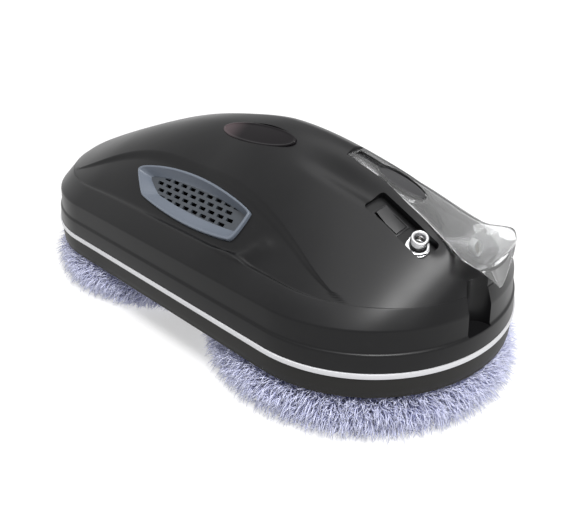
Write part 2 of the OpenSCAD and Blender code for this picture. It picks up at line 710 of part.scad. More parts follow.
// Rocker switch: a frame clipped in the tray and a rocker on its cross pin
switch_rim = 1.1;
switch_step = 0.7;
rocker_len = switch_len - 2 * switch_rim - 2 * slip;
rocker_w = switch_w - 2 * switch_rim - 2 * slip;
rocker_pivot_r = 1.2;
rocker_drop = 1.2;
module at_switch() at_tray() translate([switch_x, 0, -tray_depth]) children();
module switch_frame() {
    color([0.12, 0.12, 0.13]) at_switch() difference() {
        union() {
            translate([-switch_len / 2, -switch_w / 2, 0]) cube([switch_len, switch_w, switch_rim]);
            translate([-switch_len / 2 + switch_step, -switch_w / 2 + switch_step, -2 * wall])
                cube([switch_len - 2 * switch_step, switch_w - 2 * switch_step, 2 * wall + switch_rim / 2]);
        }
        translate([-rocker_len / 2 - slip, -rocker_w / 2 - slip, -wall * 1.5])
            cube([rocker_len + 2 * slip, rocker_w + 2 * slip, 4 * wall]);
        translate([0, switch_w / 2 - switch_step - slip, -rocker_drop]) rotate([90, 0, 0])
            cylinder(h = switch_w - 2 * switch_step - 2 * slip, r = rocker_pivot_r / 2 + run_fit, $fn = 24);
    }
}
rocker_dip = 1.1;
module rocker_switch() {
    color([0.16, 0.16, 0.17]) at_switch() translate([0, 0, -rocker_drop]) rotate([0, rocker_swing, 0]) {
        translate([0, rocker_w / 2, 0]) rotate([90, 0, 0]) linear_extrude(rocker_w)
            polygon([[-rocker_len / 2 + slip, -rocker_pivot_r], [rocker_len / 2 - slip, -rocker_pivot_r],
                [rocker_len / 2 - slip, rocker_drop + 2 * switch_rim],
                [0, rocker_drop + 2 * switch_rim - rocker_dip],
                [-rocker_len / 2 + slip, rocker_drop + 2 * switch_rim]]);
        translate([0, switch_w / 2 - switch_step - 2 * slip, 0]) rotate([90, 0, 0])
            cylinder(h = switch_w - 2 * switch_step - 4 * slip, r = rocker_pivot_r / 2, $fn = 24);
    }
}

// Power socket: a threaded collar through the tray, held by a nut and washer, with one contact inside
socket_flange_r = socket_r * 1.25;
nut_r = socket_r * 1.35;
nut_h = socket_h * 0.22;
flange_h = socket_h * 0.1;
contact_r = socket_bore_r * 0.35;
jack_depth = 6;
jack_seat_r = socket_bore_r * 0.85;
module at_socket() at_tray() translate([socket_x, 0, -tray_depth]) children();
module power_socket() {
    color([0.83, 0.83, 0.85]) at_socket() difference() {
        translate([0, 0, -3 * wall]) cylinder(h = 3 * wall + socket_h, r = socket_r, $fn = 48);
        translate([0, 0, -2 * wall]) cylinder(h = 2 * wall + 2 * socket_h, r = jack_seat_r, $fn = 48);
        translate([0, 0, socket_h - jack_depth]) cylinder(h = jack_depth + cut, r = socket_bore_r, $fn = 48);
    }
}
module socket_nut() {
    color([0.78, 0.78, 0.8]) at_socket() difference() {
        union() {
            cylinder(h = flange_h, r = nut_r, $fn = 48);
            translate([0, 0, flange_h]) cylinder(h = nut_h, r = nut_r, $fn = 6);
            translate([0, 0, flange_h + nut_h / 2]) cylinder(h = nut_h / 2, r = socket_flange_r, $fn = 48);
        }
        translate([0, 0, -cut]) cylinder(h = socket_h, r = socket_r + run_fit, $fn = 48);
    }
}
module socket_contact() {
    color([0.8, 0.65, 0.3]) at_socket() translate([0, 0, -2 * wall]) {
        cylinder(h = wall, r = jack_seat_r - run_fit, $fn = 32);
        cylinder(h = 2 * wall + socket_h - jack_depth - slip, r = contact_r, $fn = 24);
    }
}

// Water tank: clear shell with a pocket for the plug and a filling hole under it
fill_share = 0.325;
fill_x = tank_start_x + tank_span * fill_share;
fill_z = tank_edge_z(fill_share) - plug_t;
plug_tilt_share = 0.88;
plug_tilt = plug_tilt_share * atan2(tank_edge_z(0) - tank_edge_z(2 * fill_share), 2 * fill_share * tank_span);
strap_len = 14;
strap_w = 4.4;
strap_t = 1.6;
strap_reach = plug_len / 2 + strap_len;
module at_fill() translate([fill_x, 0, fill_z]) rotate([0, plug_tilt, 0]) children();
module tank_hollow() {
    loft([for (s = tank_w_shares) if (s.x > 0 && s.x < brow_share) tank_ring(s.x, -tank_wall, 0)]);
}
module plug_plan(grow) {
    oval(plug_len + 2 * grow, plug_w + 2 * grow);
    translate([-strap_reach - grow - strap_t / 2, -strap_w / 2 - grow]) square([strap_reach + grow + strap_t / 2, strap_w + 2 * grow]);
}
module water_tank() {
    color([0.86, 0.88, 0.9, 0.4]) difference() {
        union() {
            difference() {
                tank_form(0, 0);
                tank_hollow();
            }
            intersection() {
                tank_form(0, 0);
                at_fill() translate([0, 0, -tank_wall]) linear_extrude(tank_depth) plug_plan(tank_wall);
            }
        }
        at_fill() linear_extrude(tank_depth) plug_plan(slip);
        at_fill() translate([0, 0, -tank_depth / 2]) cylinder(h = tank_depth, r = fill_r, $fn = 48);
    }
}

// Plug: an oval rubber cap with a stem in the filling hole and a strap to its hinge end
stem_h = 3.2;
plug_lift = slip;
module tank_plug() {
    color([0.28, 0.28, 0.29]) at_fill() translate([0, 0, plug_lift]) {
        linear_extrude(plug_t * 0.6) oval(plug_len, plug_w);
        linear_extrude(plug_t) oval(plug_len - plug_t, plug_w - plug_t);
        translate([-strap_reach, -strap_w / 2, 0]) cube([strap_len + plug_len / 4, strap_w, strap_t]);
        translate([-strap_reach, strap_w / 2, strap_t / 2]) rotate([90, 0, 0])
            cylinder(h = strap_w, r = strap_t / 2, $fn = 24);
        translate([0, 0, -stem_h - plug_lift]) cylinder(h = stem_h + plug_lift + strap_t, r = fill_r - slip, $fn = 48);
    }
}

// Spray head: a round holder inside the tank's front with the vibrating disc that makes the mist
spray_r = 3.4;
spray_t = 3;
spray_share = 0.8;
spray_x = tank_start_x + tank_span * spray_share;
spray_z = (tank_edge_z(spray_share) + tank_keel_z(spray_share)) / 2;
module spray_head() {
    color([0.6, 0.61, 0.62]) translate([spray_x, 0, spray_z]) rotate([0, 90, 0]) difference() {
        cylinder(h = spray_t, r = spray_r, $fn = 48);
        translate([0, 0, spray_t / 2]) cylinder(h = spray_t, r = spray_r * 0.7, $fn = 48);
        translate([0, 0, -cut]) cylinder(h = spray_t, r = spray_r * 0.45, $fn = 48);
    }
}
module spray_disc() {
    color([0.75, 0.7, 0.55]) translate([spray_x, 0, spray_z]) rotate([0, 90, 0])
        translate([0, 0, spray_t / 2]) cylinder(h = spray_t / 5, r = spray_r * 0.7 - run_fit, $fn = 48);
}

// Mop disc: a plate with a hollow shaft that runs in the bearing and carries the gear
module wheel_disc(sx) {
    color([0.55, 0.56, 0.58]) translate([sx * disc_x, 0, 0]) rotate_extrude($fn = 96)
        polygon([[port_r, disc_z], [disc_r, disc_z], [disc_r, disc_top_z], [shaft_r + wall + slip, disc_top_z],
            [shaft_r + wall + slip, bearing_z - slip], [shaft_r, bearing_z - slip], [shaft_r, shaft_top_z],
            [port_r, shaft_top_z]]);
}
module wheel_disc_front() wheel_disc(1);
module wheel_disc_rear() wheel_disc(-1);

// Mop pad: an elastic bonnet round the disc, with its pile below and round its edge
pad_edge_r = 6;
pad_lip = 7;
module mop_pad(sx) {
    color([0.72, 0.72, 0.86]) translate([sx * disc_x, 0, 0]) rotate_extrude($fn = 96)
        polygon(concat(
            [[pad_hole_r, disc_z - slip], [pad_hole_r, pad_edge_r / 2], [pad_hole_r + pad_edge_r / 2, 0]],
            [for (a = [-90:15:0]) [pad_r - pad_edge_r + pad_edge_r * cos(a), pad_edge_r + pad_edge_r * sin(a)]],
            [for (a = [0:15:90]) [pad_r - pad_edge_r + pad_edge_r * cos(a), pad_h - pad_edge_r + pad_edge_r * sin(a)]],
            [[disc_r - pad_lip, pad_h], [disc_r - pad_lip, disc_top_z + slip], [disc_r + slip, disc_top_z + slip],
             [disc_r + slip, disc_z - slip]]));
}
module mop_pad_front() mop_pad(1);
module mop_pad_rear() mop_pad(-1);

module wheel_bearing(sx) {
    color([0.7, 0.7, 0.72]) translate([sx * disc_x, 0, bearing_z]) difference() {
        cylinder(h = bearing_h, r = bearing_r, $fn = 96);
        translate([0, 0, -cut]) cylinder(h = bearing_h + 2 * cut, r = shaft_r + run_fit, $fn = 96);
    }
}
module wheel_bearing_front() wheel_bearing(1);
module wheel_bearing_rear() wheel_bearing(-1);

// Gear outline: teeth thinned by half the play on each side, drawn with a few points on each curved flank
pressure_angle = 20;
flank_steps = 3;
function inv(a) = tan(a) - a * PI / 180;
function tooth_half_angle(r, pitch_r, base_r, teeth) =
    let (a = acos(min(base_r / r, 1)))
    90 / teeth - gear_play / 2 / pitch_r * 180 / PI + (inv(pressure_angle) - inv(a)) * 180 / PI;
function gear_points(teeth) =
    let (pitch_r = gear_module * teeth / 2, base_r = pitch_r * cos(pressure_angle),
         tip_r = pitch_r + gear_module * 0.9, root_r = pitch_r - gear_module * 1.2,
         low_r = max(base_r, root_r + gear_module * 0.1))
    [for (i = [0:teeth - 1]) let (mid = 360 * i / teeth, low_a = tooth_half_angle(low_r, pitch_r, base_r, teeth))
        each concat(
            [[root_r, mid - low_a]],
            [for (k = [0:flank_steps]) let (r = mix(low_r, tip_r, k / flank_steps))
                [r, mid - tooth_half_angle(r, pitch_r, base_r, teeth)]],
            [for (k = [flank_steps:-1:0]) let (r = mix(low_r, tip_r, k / flank_steps))
                [r, mid + tooth_half_angle(r, pitch_r, base_r, teeth)]],
            [[root_r, mid + low_a]])];
module gear_plan(teeth) {
    polygon([for (p = gear_points(teeth)) [p.x * cos(p.y), p.x * sin(p.y)]]);
}

// A disc's gear on its shaft, one tooth turned to face the idler
disc_gear_face = 180 - idler_angle;
module wheel_gear_front() {
    color([0.9, 0.9, 0.86]) translate([disc_x, 0, 0]) difference() {
        union() {
            translate([0, 0, gear_z]) rotate([0, 0, disc_gear_face]) linear_extrude(gear_h) gear_plan(disc_teeth);
            translate([0, 0, bearing_top_z + slip]) cylinder(h = gear_z - bearing_top_z, r = shaft_r + wall, $fn = 96);
        }
        translate([0, 0, bearing_z]) cylinder(h = frame_z, r = shaft_r + run_fit / 2, $fn = 96);
    }
}
module wheel_gear_rear() rear() wheel_gear_front();

// Idler: its small wheel, a gap facing the disc's gear, and its large wheel, a gap facing the pinion
idler_z = gear_z;
idler_step = 1.5;
idler_large_z = gear_top_z + idler_step;
idler_large_h = 4.5;
idler_small_turn = -idler_angle + 180 / idler_small_teeth;
idler_large_turn = motor_angle + 180 / idler_large_teeth;
module idler_gear_front() {
    color([0.88, 0.86, 0.8]) translate([idler_x, idler_y, 0]) difference() {
        union() {
            translate([0, 0, idler_z]) rotate([0, 0, idler_small_turn])
                linear_extrude(idler_large_z - idler_z + cut) gear_plan(idler_small_teeth);
            translate([0, 0, idler_large_z]) rotate([0, 0, idler_large_turn])
                linear_extrude(idler_large_h) gear_plan(idler_large_teeth);
            translate([0, 0, idler_large_z]) cylinder(h = frame_z - slip - idler_large_z, r = 2 * idler_pin_r, $fn = 32);
        }
        translate([0, 0, plate_z]) cylinder(h = frame_z, r = idler_pin_r + run_fit, $fn = 32);
    }
}
module idler_gear_rear() rear() idler_gear_front();

module idler_pin_front() {
    color([0.7, 0.7, 0.72]) translate([idler_x, idler_y, plate_z + wall / 2])
        cylinder(h = frame_top_z - plate_z - wall / 2, r = idler_pin_r, $fn = 32);
}
module idler_pin_rear() rear() idler_pin_front();

// Motor pinion with its shaft, one tooth turned to face the idler
module motor_pinion_front() {
    color([0.75, 0.7, 0.5]) translate([motor_x, motor_y, 0]) {
        translate([0, 0, idler_large_z]) rotate([0, 0, motor_angle + 180])
            linear_extrude(idler_large_h) gear_plan(pinion_teeth);
        translate([0, 0, idler_large_z]) cylinder(h = frame_top_z + motor_len - wall - idler_large_z,
            r = motor_shaft_r, $fn = 32);
    }
}
module motor_pinion_rear() rear() motor_pinion_front();

module drive_motor_front() {
    color([0.62, 0.63, 0.65]) translate([motor_x, motor_y, frame_top_z]) difference() {
        cylinder(h = motor_len, r = motor_r, $fn = 64);
        translate([0, 0, -cut]) cylinder(h = motor_len - wall + cut + slip, r = motor_shaft_r + run_fit, $fn = 32);
    }
}
module drive_motor_rear() rear() drive_motor_front();

// Fan: a drum on the inner frame, open below to the duct and at both sides to the vents
fan_port_w = 34;
module fan_housing() {
    color([0.25, 0.25, 0.27]) translate([0, 0, fan_z]) difference() {
        cylinder(h = fan_h + wall, r = fan_r + wall, $fn = 96);
        translate([0, 0, wall]) cylinder(h = fan_h - wall, r = fan_r, $fn = 96);
        translate([0, 0, -cut]) cylinder(h = wall + 2 * cut, r = port_r, $fn = 64);
        translate([0, 0, fan_h - cut]) cylinder(h = wall + 2 * cut, r = 3 * motor_shaft_r, $fn = 32);
        translate([-fan_port_w / 2, -2 * fan_r, 2 * wall]) cube([fan_port_w, 4 * fan_r, fan_h - 4 * wall]);
    }
}
impeller_z = fan_z + wall + fan_gap / 2;
impeller_t = 1.6;
hub_r = 6;
blade_sweep = 35;
module fan_impeller() {
    color([0.2, 0.2, 0.22]) translate([0, 0, impeller_z]) {
        translate([0, 0, blade_h]) cylinder(h = impeller_t, r = impeller_r, $fn = 96);
        cylinder(h = blade_h + impeller_t, r = hub_r, $fn = 48);
        for (i = [0:blade_count - 1]) rotate([0, 0, 360 * i / blade_count]) translate([hub_r - cut, 0, 0])
            rotate([0, 0, -blade_sweep / 2]) cube([(impeller_r - hub_r) * 0.92, blade_t, blade_h + impeller_t / 2]);
        cylinder(h = fan_top_z + fan_motor_len - wall - impeller_z, r = motor_shaft_r, $fn = 32);
    }
}
module fan_motor() {
    color([0.6, 0.6, 0.62]) translate([0, 0, fan_top_z]) difference() {
        cylinder(h = fan_motor_len, r = fan_motor_r, $fn = 64);
        translate([0, 0, -cut]) cylinder(h = fan_motor_len - wall + cut + slip, r = motor_shaft_r + run_fit, $fn = 32);
    }
}

// Battery: three round cells in a wrapped pack
module battery_pack() {
    cell_r = battery_h / 2;
    color([0.15, 0.3, 0.55]) translate([battery_x, battery_y, frame_top_z + cell_r]) rotate([0, 90, 0])
        translate([0, 0, -battery_len / 2]) linear_extrude(battery_len) {
            for (s = [-1, 1]) translate([0, s * (battery_w / 2 - cell_r)]) circle(r = cell_r, $fn = 48);
            square([battery_h, battery_w - battery_h], center = true);
        }
}

// Circuit board with its larger components
module circuit_board() {
    color([0.1, 0.35, 0.18]) translate([board_x, board_y, frame_top_z + board_lift]) {
        translate([-board_len / 2, -board_w / 2, 0]) cube([board_len, board_w, board_t]);
        for (k = [-1:1]) translate([k * board_len * 0.28, 0, board_t / 2]) {
            translate([-board_len * 0.09, -board_w * 0.18, 0]) cube([board_len * 0.18, board_w * 0.3, 2 * board_t]);
            translate([0, board_w * 0.32, 0]) cylinder(h = 5 * board_t, r = board_w * 0.1, $fn = 24);
        }
    }
}

module casing_screws() {
    color([0.65, 0.65, 0.67]) for (p = screw_places) translate([p.x, p.y, plate_z]) {
        cylinder(h = screw_len, r = screw_r, $fn = 24);
        difference() {
            cylinder(h = wall / 2, r = screw_head_r, $fn = 32);
            translate([0, 0, -cut]) cylinder(h = cut + wall / 4, r = screw_r * 0.8, $fn = 6);
        }
    }
}

upper_housing();
lower_casing();
trim_strip();
inner_frame();
suction_duct();
vent_frame_left();
vent_frame_right();
vent_grille_left();
vent_grille_right();
badge_plate();
switch_frame();
rocker_switch();
power_socket();
socket_nut();
socket_contact();
water_tank();
tank_plug();
spray_head();
spray_disc();
wheel_disc_front();
wheel_disc_rear();
mop_pad_front();
mop_pad_rear();
wheel_bearing_front();
wheel_bearing_rear();
wheel_gear_front();
wheel_gear_rear();
idler_gear_front();
idler_gear_rear();
idler_pin_front();
idler_pin_rear();
motor_pinion_front();
motor_pinion_rear();
drive_motor_front();
drive_motor_rear();
fan_housing();
fan_impeller();
fan_motor();
battery_pack();
circuit_board();
casing_screws();
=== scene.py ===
"""Window cleaning robot: smooth casings, vents, controls, clear tank, long-pile pads and a studio, on the CAD frame."""
import json
from math import atan2, cos, degrees, pi, radians, sin, sqrt

import bmesh
import bpy
import numpy as np
from bpy.props import FloatProperty, FloatVectorProperty, IntProperty, PointerProperty
from mathutils import Euler, Matrix, Vector


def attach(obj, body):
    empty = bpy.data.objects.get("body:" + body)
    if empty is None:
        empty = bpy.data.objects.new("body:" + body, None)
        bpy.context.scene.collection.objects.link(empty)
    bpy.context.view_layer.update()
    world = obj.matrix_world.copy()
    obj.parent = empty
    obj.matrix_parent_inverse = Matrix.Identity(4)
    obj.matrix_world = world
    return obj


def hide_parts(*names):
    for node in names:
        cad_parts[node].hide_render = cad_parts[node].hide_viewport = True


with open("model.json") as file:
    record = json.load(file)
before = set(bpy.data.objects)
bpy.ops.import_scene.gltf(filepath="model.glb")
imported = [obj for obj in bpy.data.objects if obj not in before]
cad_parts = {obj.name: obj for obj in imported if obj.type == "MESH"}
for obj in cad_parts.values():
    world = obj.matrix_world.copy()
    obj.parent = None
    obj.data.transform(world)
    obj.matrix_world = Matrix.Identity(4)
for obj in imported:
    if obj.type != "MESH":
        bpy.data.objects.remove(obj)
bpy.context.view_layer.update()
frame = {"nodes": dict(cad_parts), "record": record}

bl_info = {
    "name": "Window Cleaning Robot",
    "version": (1, 0, 0),
    "blender": (4, 5, 0),
    "location": "View3D > Sidebar > Robot",
    "description": "Builds the visible pieces of a twin-disc window cleaning robot on its CAD frame",
    "category": "Object",
}

MM = 0.001


# ---- shape of the body, in millimetres

HALF_LEN, HALF_W, END_DEPTH = 171.0, 87.0, 82.0
STRAIGHT = HALF_LEN - END_DEPTH
STRIP_Z, STRIP_TOP, STRIP_PROUD, LIP_INSET = 37.0, 40.0, 0.8, 1.8
LIP_Z, LEDGE, BAND_Z, BAND_INSET = 49.5, 1.2, 61.6, 4.0
SHOULDER_END_IN, SHOULDER_SIDE_IN, SHOULDER_END_Z, SHOULDER_SIDE_Z = 7.0, 16.0, 70.0, 69.0
SHOULDER_LEN, SHOULDER_W = HALF_LEN - SHOULDER_END_IN, HALF_W - SHOULDER_SIDE_IN
ARC_SHARE = 0.62  # share of a quarter outline's points that lie on its round end
WALL = 2.6
DISC_X = 84.0
PEAK_X, PEAK_Z, RIDGE_ROUND = 26, 125.4, 5
REAR_DROP, REAR_RUN, FRONT_DROP, FRONT_RUN = 54.5, 190, 35.8, 138
BAY_X, BAY_REACH, BAY_DEPTH = -3, 126, 3
CREASE_U, CREASE_SHARE = -0.13, 0.51  # where the bay's crease is nearest to the ridge, and how near
GROOVE_IN, GROOVE_WIDTH, GROOVE_DEPTH = 0.09, 0.25, 2
RIDGE_SOFT, RIDGE_REACH = 3.4, 12
VENT_X, VENT_Y, VENT_SLOPE = -7, 54.5, 0.755
LIP_HEIGHT, LIP_INSIDE, LIP_OUTSIDE = 1.9, 3.4, 9.0
LIP_PATH = [(36, -20), (47, -19.4), (57, -18.6), (63, -15), (67, -9), (70.5, -2.6), (73, 3.3)]


def mix(a, b, t):
    return a + (b - a) * t


def clamp(v, low=0.0, high=1.0):
    return min(max(v, low), high)


def ease(low, high, v):
    t = clamp((v - low) / (high - low))
    return t * t * (3 - 2 * t)


def quarter(f, ix, iy):
    """Point of the outline's first quarter, from the front tip (f = 0) to the middle of the side (f = 1)."""
    if f < ARC_SHARE:
        a = pi / 2 * f / ARC_SHARE
        return STRAIGHT + (END_DEPTH - ix) * cos(a), (HALF_W - iy) * sin(a)
    return STRAIGHT * (1 - f) / (1 - ARC_SHARE), HALF_W - iy


def outline(ix, iy, arc=56, side=24):
    """Points of the body's outline, set in by ix and iy, counter-clockwise from the front tip."""
    shares = [ARC_SHARE * k / arc for k in range(arc)]
    shares += [ARC_SHARE + (1 - ARC_SHARE) * k / side for k in range(side)]
    first = [quarter(f, ix, iy) for f in shares]
    back = [quarter(f, ix, iy) for f in [1.0] + shares[:0:-1]]
    return first + [(-x, y) for x, y in back] + [(-x, -y) for x, y in first] + [(x, -y) for x, y in back]


def past_straight(x):
    """Share of the round end that lies within x."""
    return clamp((abs(x) - STRAIGHT) / (END_DEPTH - SHOULDER_END_IN))


def shoulder_w(x):
    return SHOULDER_W * sqrt(1 - past_straight(x) ** 2)


def shoulder_z(x):
    return mix(SHOULDER_SIDE_Z, SHOULDER_END_Z, past_straight(x) ** 2)


def dome_z(x, y):
    """Height of the plain dome."""
    if x < PEAK_X:
        drop = REAR_DROP * ((PEAK_X - x) / REAR_RUN) ** 1.49
    else:
        drop = FRONT_DROP * ((x - PEAK_X) / FRONT_RUN) ** 1.9
    start = (0.9 if x < 0 else 0.88) * SHOULDER_LEN
    fade = sqrt(1 - clamp((abs(x) - start) / (SHOULDER_LEN - start)) ** 5)
    s = x / SHOULDER_LEN
    power = mix(mix(2.2, 1.14, ease(-0.6, 0, s)), 0.96, ease(0.1, 0.6, s))
    base = shoulder_z(x)
    return base + (PEAK_Z - drop - base) * fade * (1 - across(x, y) ** power)


def across(x, y):
    """Share of the way from the ridge to the shoulder, rounded over the ridge."""
    w = shoulder_w(x)
    return 1.0 if w < RIDGE_ROUND else clamp((sqrt(y * y + RIDGE_ROUND ** 2) - RIDGE_ROUND) / (w - RIDGE_ROUND))


def crease_share(x):
    """Where the bay's upper crease runs, as a share of the way to the shoulder."""
    u = clamp((x - BAY_X) / BAY_REACH, -1, 1)
    t = (CREASE_U - u) / (1 + CREASE_U) if u < CREASE_U else (u - CREASE_U) / (1 - CREASE_U)
    return mix(CREASE_SHARE, 1, t ** 2.4)


def skin_z(x, y):
    """Height of the finished skin: the dome with its bays, its grooves beside the ridge and the vents' lips."""
    cut = 0.0
    crease, r = crease_share(x), across(x, y)
    if crease <= 0.99 and r > crease:
        v = (r - crease) / (1 - crease)
        u = clamp(abs(x - BAY_X) / BAY_REACH)
        cut += BAY_DEPTH * (1 - u ** 4) * ease(0, 0.11, v) * (1 - ease(0.86, 1, v))
    s = x / SHOULDER_LEN
    along = ease(0.27, 0.5, s) * (1 - ease(0.84, 0.9, s))
    v = (abs(y) / SHOULDER_W - GROOVE_IN) / GROOVE_WIDTH
    if 0 < v < 1:
        cut += GROOVE_DEPTH * along * ease(0, 0.7, v) * (1 - ease(0.62, 1, v))
    soft = abs(y) + RIDGE_SOFT * max(0.0, 1 - abs(y) / RIDGE_REACH) ** 2
    return dome_z(x, soft) - cut + vent_lip(x, y)


def vent_lip(x, y):
    """Rounded lip in the bay, round the vent's lower front corner."""
    u, v = x - VENT_X, (VENT_Y - abs(y)) / VENT_SLOPE
    if not (26 < u < 86 and -34 < v < 14):
        return 0.0
    best = (99.0, 0.0, 0.0)
    for k, ((x0, y0), (x1, y1)) in enumerate(zip(LIP_PATH, LIP_PATH[1:])):
        dx, dy = x1 - x0, y1 - y0
        t = clamp(((u - x0) * dx + (v - y0) * dy) / (dx * dx + dy * dy))
        reach = sqrt((u - x0 - t * dx) ** 2 + (v - y0 - t * dy) ** 2)
        best = min(best, (reach, (k + t) / (len(LIP_PATH) - 1), dx * (v - y0) - dy * (u - x0)))
    d, along, side = best
    width = LIP_INSIDE if side > 0 else LIP_OUTSIDE
    return LIP_HEIGHT * ease(0, 0.3, along) * (1 - ease(0.66, 1, along)) * (1 - ease(0.1, 1, d / width))


def level_rings(sections, arc=56, side=24):
    """The body's outline at each (inset, height)."""
    return [[(x, y, z) for x, y in outline(inset, inset, arc, side)] for inset, z in sections]


def dome_rings(sink, bay_steps, top_steps, arc=56, side=24):
    """Rings of the dome from the shoulder in to the ridge; the last one lies on the ridge itself."""
    shoulder = outline(SHOULDER_END_IN, SHOULDER_SIDE_IN, arc, side)
    rings = []
    for k in range(bay_steps + top_steps):
        ring = []
        for px, py in shoulder:
            crease = min(crease_share(px), 0.93)
            if k <= bay_steps:
                v = k / bay_steps
                r = mix(1, crease, mix(v, v * v * (3 - 2 * v), 0.5))
            else:
                r = crease * (1 - (k - bay_steps) / (top_steps - 1))
            x, y = px * mix(0.94, 1, r), py * r
            ring.append((x, y, (shoulder_z(px) if k == 0 else skin_z(x, y)) - sink))
        rings.append(ring)
    return rings


# ---- mesh helpers

def new_object(name, mesh):
    obj = bpy.data.objects.new(name, mesh)
    bpy.context.scene.collection.objects.link(obj)
    return obj


def mesh_from(name, points, faces, merge=0.0):
    """Closed mesh from points in millimetres, its faces turned outward."""
    mesh = bpy.data.meshes.new(name)
    mesh.from_pydata([(x * MM, y * MM, z * MM) for x, y, z in points], [], faces)
    bm = bmesh.new()
    bm.from_mesh(mesh)
    if merge:
        bmesh.ops.remove_doubles(bm, verts=bm.verts, dist=merge * MM)
        bmesh.ops.dissolve_degenerate(bm, edges=bm.edges, dist=merge * MM)
    bmesh.ops.recalc_face_normals(bm, faces=bm.faces)
    bm.to_mesh(mesh)
    bm.free()
    return mesh


def ring_mesh(name, rings, ends=(True, True), merge=0.0, wrap=False):
    """Skin over rings of equal count; the ends are capped, or the stack is closed on itself with wrap."""
    n, last = len(rings[0]), len(rings) - 1
    pairs = [(k, k + 1) for k in range(last)] + [(last, 0)] * wrap
    faces = [(a * n + i, a * n + (i + 1) % n, b * n + (i + 1) % n, b * n + i) for a, b in pairs for i in range(n)]
    if ends[0] and not wrap:
        faces.append(tuple(range(n))[::-1])
    if ends[1] and not wrap:
        faces.append(tuple(last * n + i for i in range(n)))
    return mesh_from(name, [p for ring in rings for p in ring], faces, merge)


def rounded_stack(rings, corners, reach):
    """Replaces the given rings by three close ones each, so that the edge there is rounded."""
    out = []
    for k, ring in enumerate(rings):
        if k not in corners:
            out.append(ring)
            continue
        low, mid, high = [], [], []
        for a, b, c in zip(rings[k - 1], ring, rings[k + 1]):
            a, b, c = Vector(a), Vector(b), Vector(c)
            p, q = [b + (end - b).normalized() * min(reach, (end - b).length * 0.45) for end in (a, c)]
            low.append(p[:])
            mid.append((p * 0.25 + b * 0.5 + q * 0.25)[:])
            high.append(q[:])
        out += [low, mid, high]
    return out


def chaikin(points, times):
    """Closed polygon with its corners cut, in two or three dimensions."""
    for _ in range(times):
        out = []
        for p, q in zip(points, points[1:] + points[:1]):
            out.append(tuple(a * 0.75 + b * 0.25 for a, b in zip(p, q)))
            out.append(tuple(a * 0.25 + b * 0.75 for a, b in zip(p, q)))
        points = out
    return points


def circle(steps):
    """Cosine and sine at equal steps round a circle."""
    return [(cos(2 * pi * k / steps), sin(2 * pi * k / steps)) for k in range(steps)]


def prism(name, plan, z0, z1, place=Matrix()):
    mesh = ring_mesh(name, [[(x, y, z) for x, y in plan] for z in (z0, z1)])
    mesh.transform(place)
    return mesh


def lathe(name, profile, steps, place=Matrix()):
    """Solid of revolution about Z from a closed profile of (radius, height)."""
    rings = [[(r * c, r * s, z) for r, z in profile] for c, s in circle(steps)]
    mesh = ring_mesh(name, rings, wrap=True, merge=0.0005)
    mesh.transform(place)
    return mesh


def baked(obj):
    """The mesh that obj's modifiers make; obj itself goes."""
    graph = bpy.context.evaluated_depsgraph_get()
    mesh = bpy.data.meshes.new_from_object(obj.evaluated_get(graph))
    bpy.data.objects.remove(obj)
    return mesh


def boolean(mesh, kind, *others):
    """Closed mesh after a DIFFERENCE, UNION or INTERSECT with other ones, one after another."""
    for other in others:
        obj, tool = new_object("boolean_base", mesh), new_object("boolean_tool", other)
        modifier = obj.modifiers.new("cut", "BOOLEAN")
        modifier.operation, modifier.object, modifier.solver = kind, tool, "MANIFOLD"
        mesh = baked(obj)
        if not mesh.polygons:
            raise RuntimeError(f"boolean {kind} with {other.name} left nothing")
        bpy.data.objects.remove(tool)
    return mesh


def dress(name, mesh, body, slot, nodes=(), angle=32):
    """Finished piece: smooth shading, material, its CAD body, its slot and the CAD nodes that it stands for."""
    mesh.polygons.foreach_set("use_smooth", [True] * len(mesh.polygons))
    mesh.set_sharp_from_angle(angle=radians(angle))
    mesh.update()
    mesh.materials.clear()
    mesh.materials.append(MATERIALS[slot])
    mesh.name = name
    obj = new_object(name, mesh)
    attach(obj, body)
    if nodes:
        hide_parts(*nodes)


def bevelled(mesh, width):
    """mesh with its flat faces joined and its sharp edges rounded."""
    bm = bmesh.new()
    bm.from_mesh(mesh)
    bmesh.ops.remove_doubles(bm, verts=bm.verts, dist=2e-6)
    bmesh.ops.dissolve_limit(bm, angle_limit=radians(1.5), verts=bm.verts, edges=bm.edges)
    bm.to_mesh(mesh)
    bm.free()
    obj = new_object("bevel_base", mesh)
    modifier = obj.modifiers.new("round", "BEVEL")
    modifier.width, modifier.segments = width * MM, 3
    modifier.limit_method, modifier.angle_limit = "ANGLE", radians(30)
    return baked(obj)


def cad_copy(name):
    return frame["nodes"][name].data.copy()


def placed(origin, roll=0.0, pitch=0.0, yaw=0.0):
    """Matrix of a tilted frame: origin in millimetres, angles in degrees about X, then Y, then Z."""
    turn = Euler((radians(roll), radians(pitch), radians(yaw)), "XYZ").to_matrix().to_4x4()
    return Matrix.Translation(Vector(origin) * MM) @ turn


def oval(length, width):
    return [(length / 2 * c, width / 2 * s) for c, s in circle(96)]


def box_plan(x0, x1, y0, y1):
    return [(x0, y0), (x1, y0), (x1, y1), (x0, y1)]


def disc_plan(r, steps=64, cx=0.0):
    return [(cx + r * c, r * s) for c, s in circle(steps)]


def crowned_oval(name, length, width, sections, rise):
    """Oval plate from (inset, height) sections, closed by a low crown over the last one."""
    rings = [[(x, y, z) for x, y in oval(length - 2 * inset, width - 2 * inset)] for inset, z in sections]
    top, steps = sections[-1][1], 8
    for s in [1 - k / steps for k in range(1, steps)]:
        rings.append([(x * s, y * s, top + rise * (1 - s * s)) for x, y, z in rings[len(sections) - 1]])
    return ring_mesh(name, rings)


SIDES = ("left", "right")


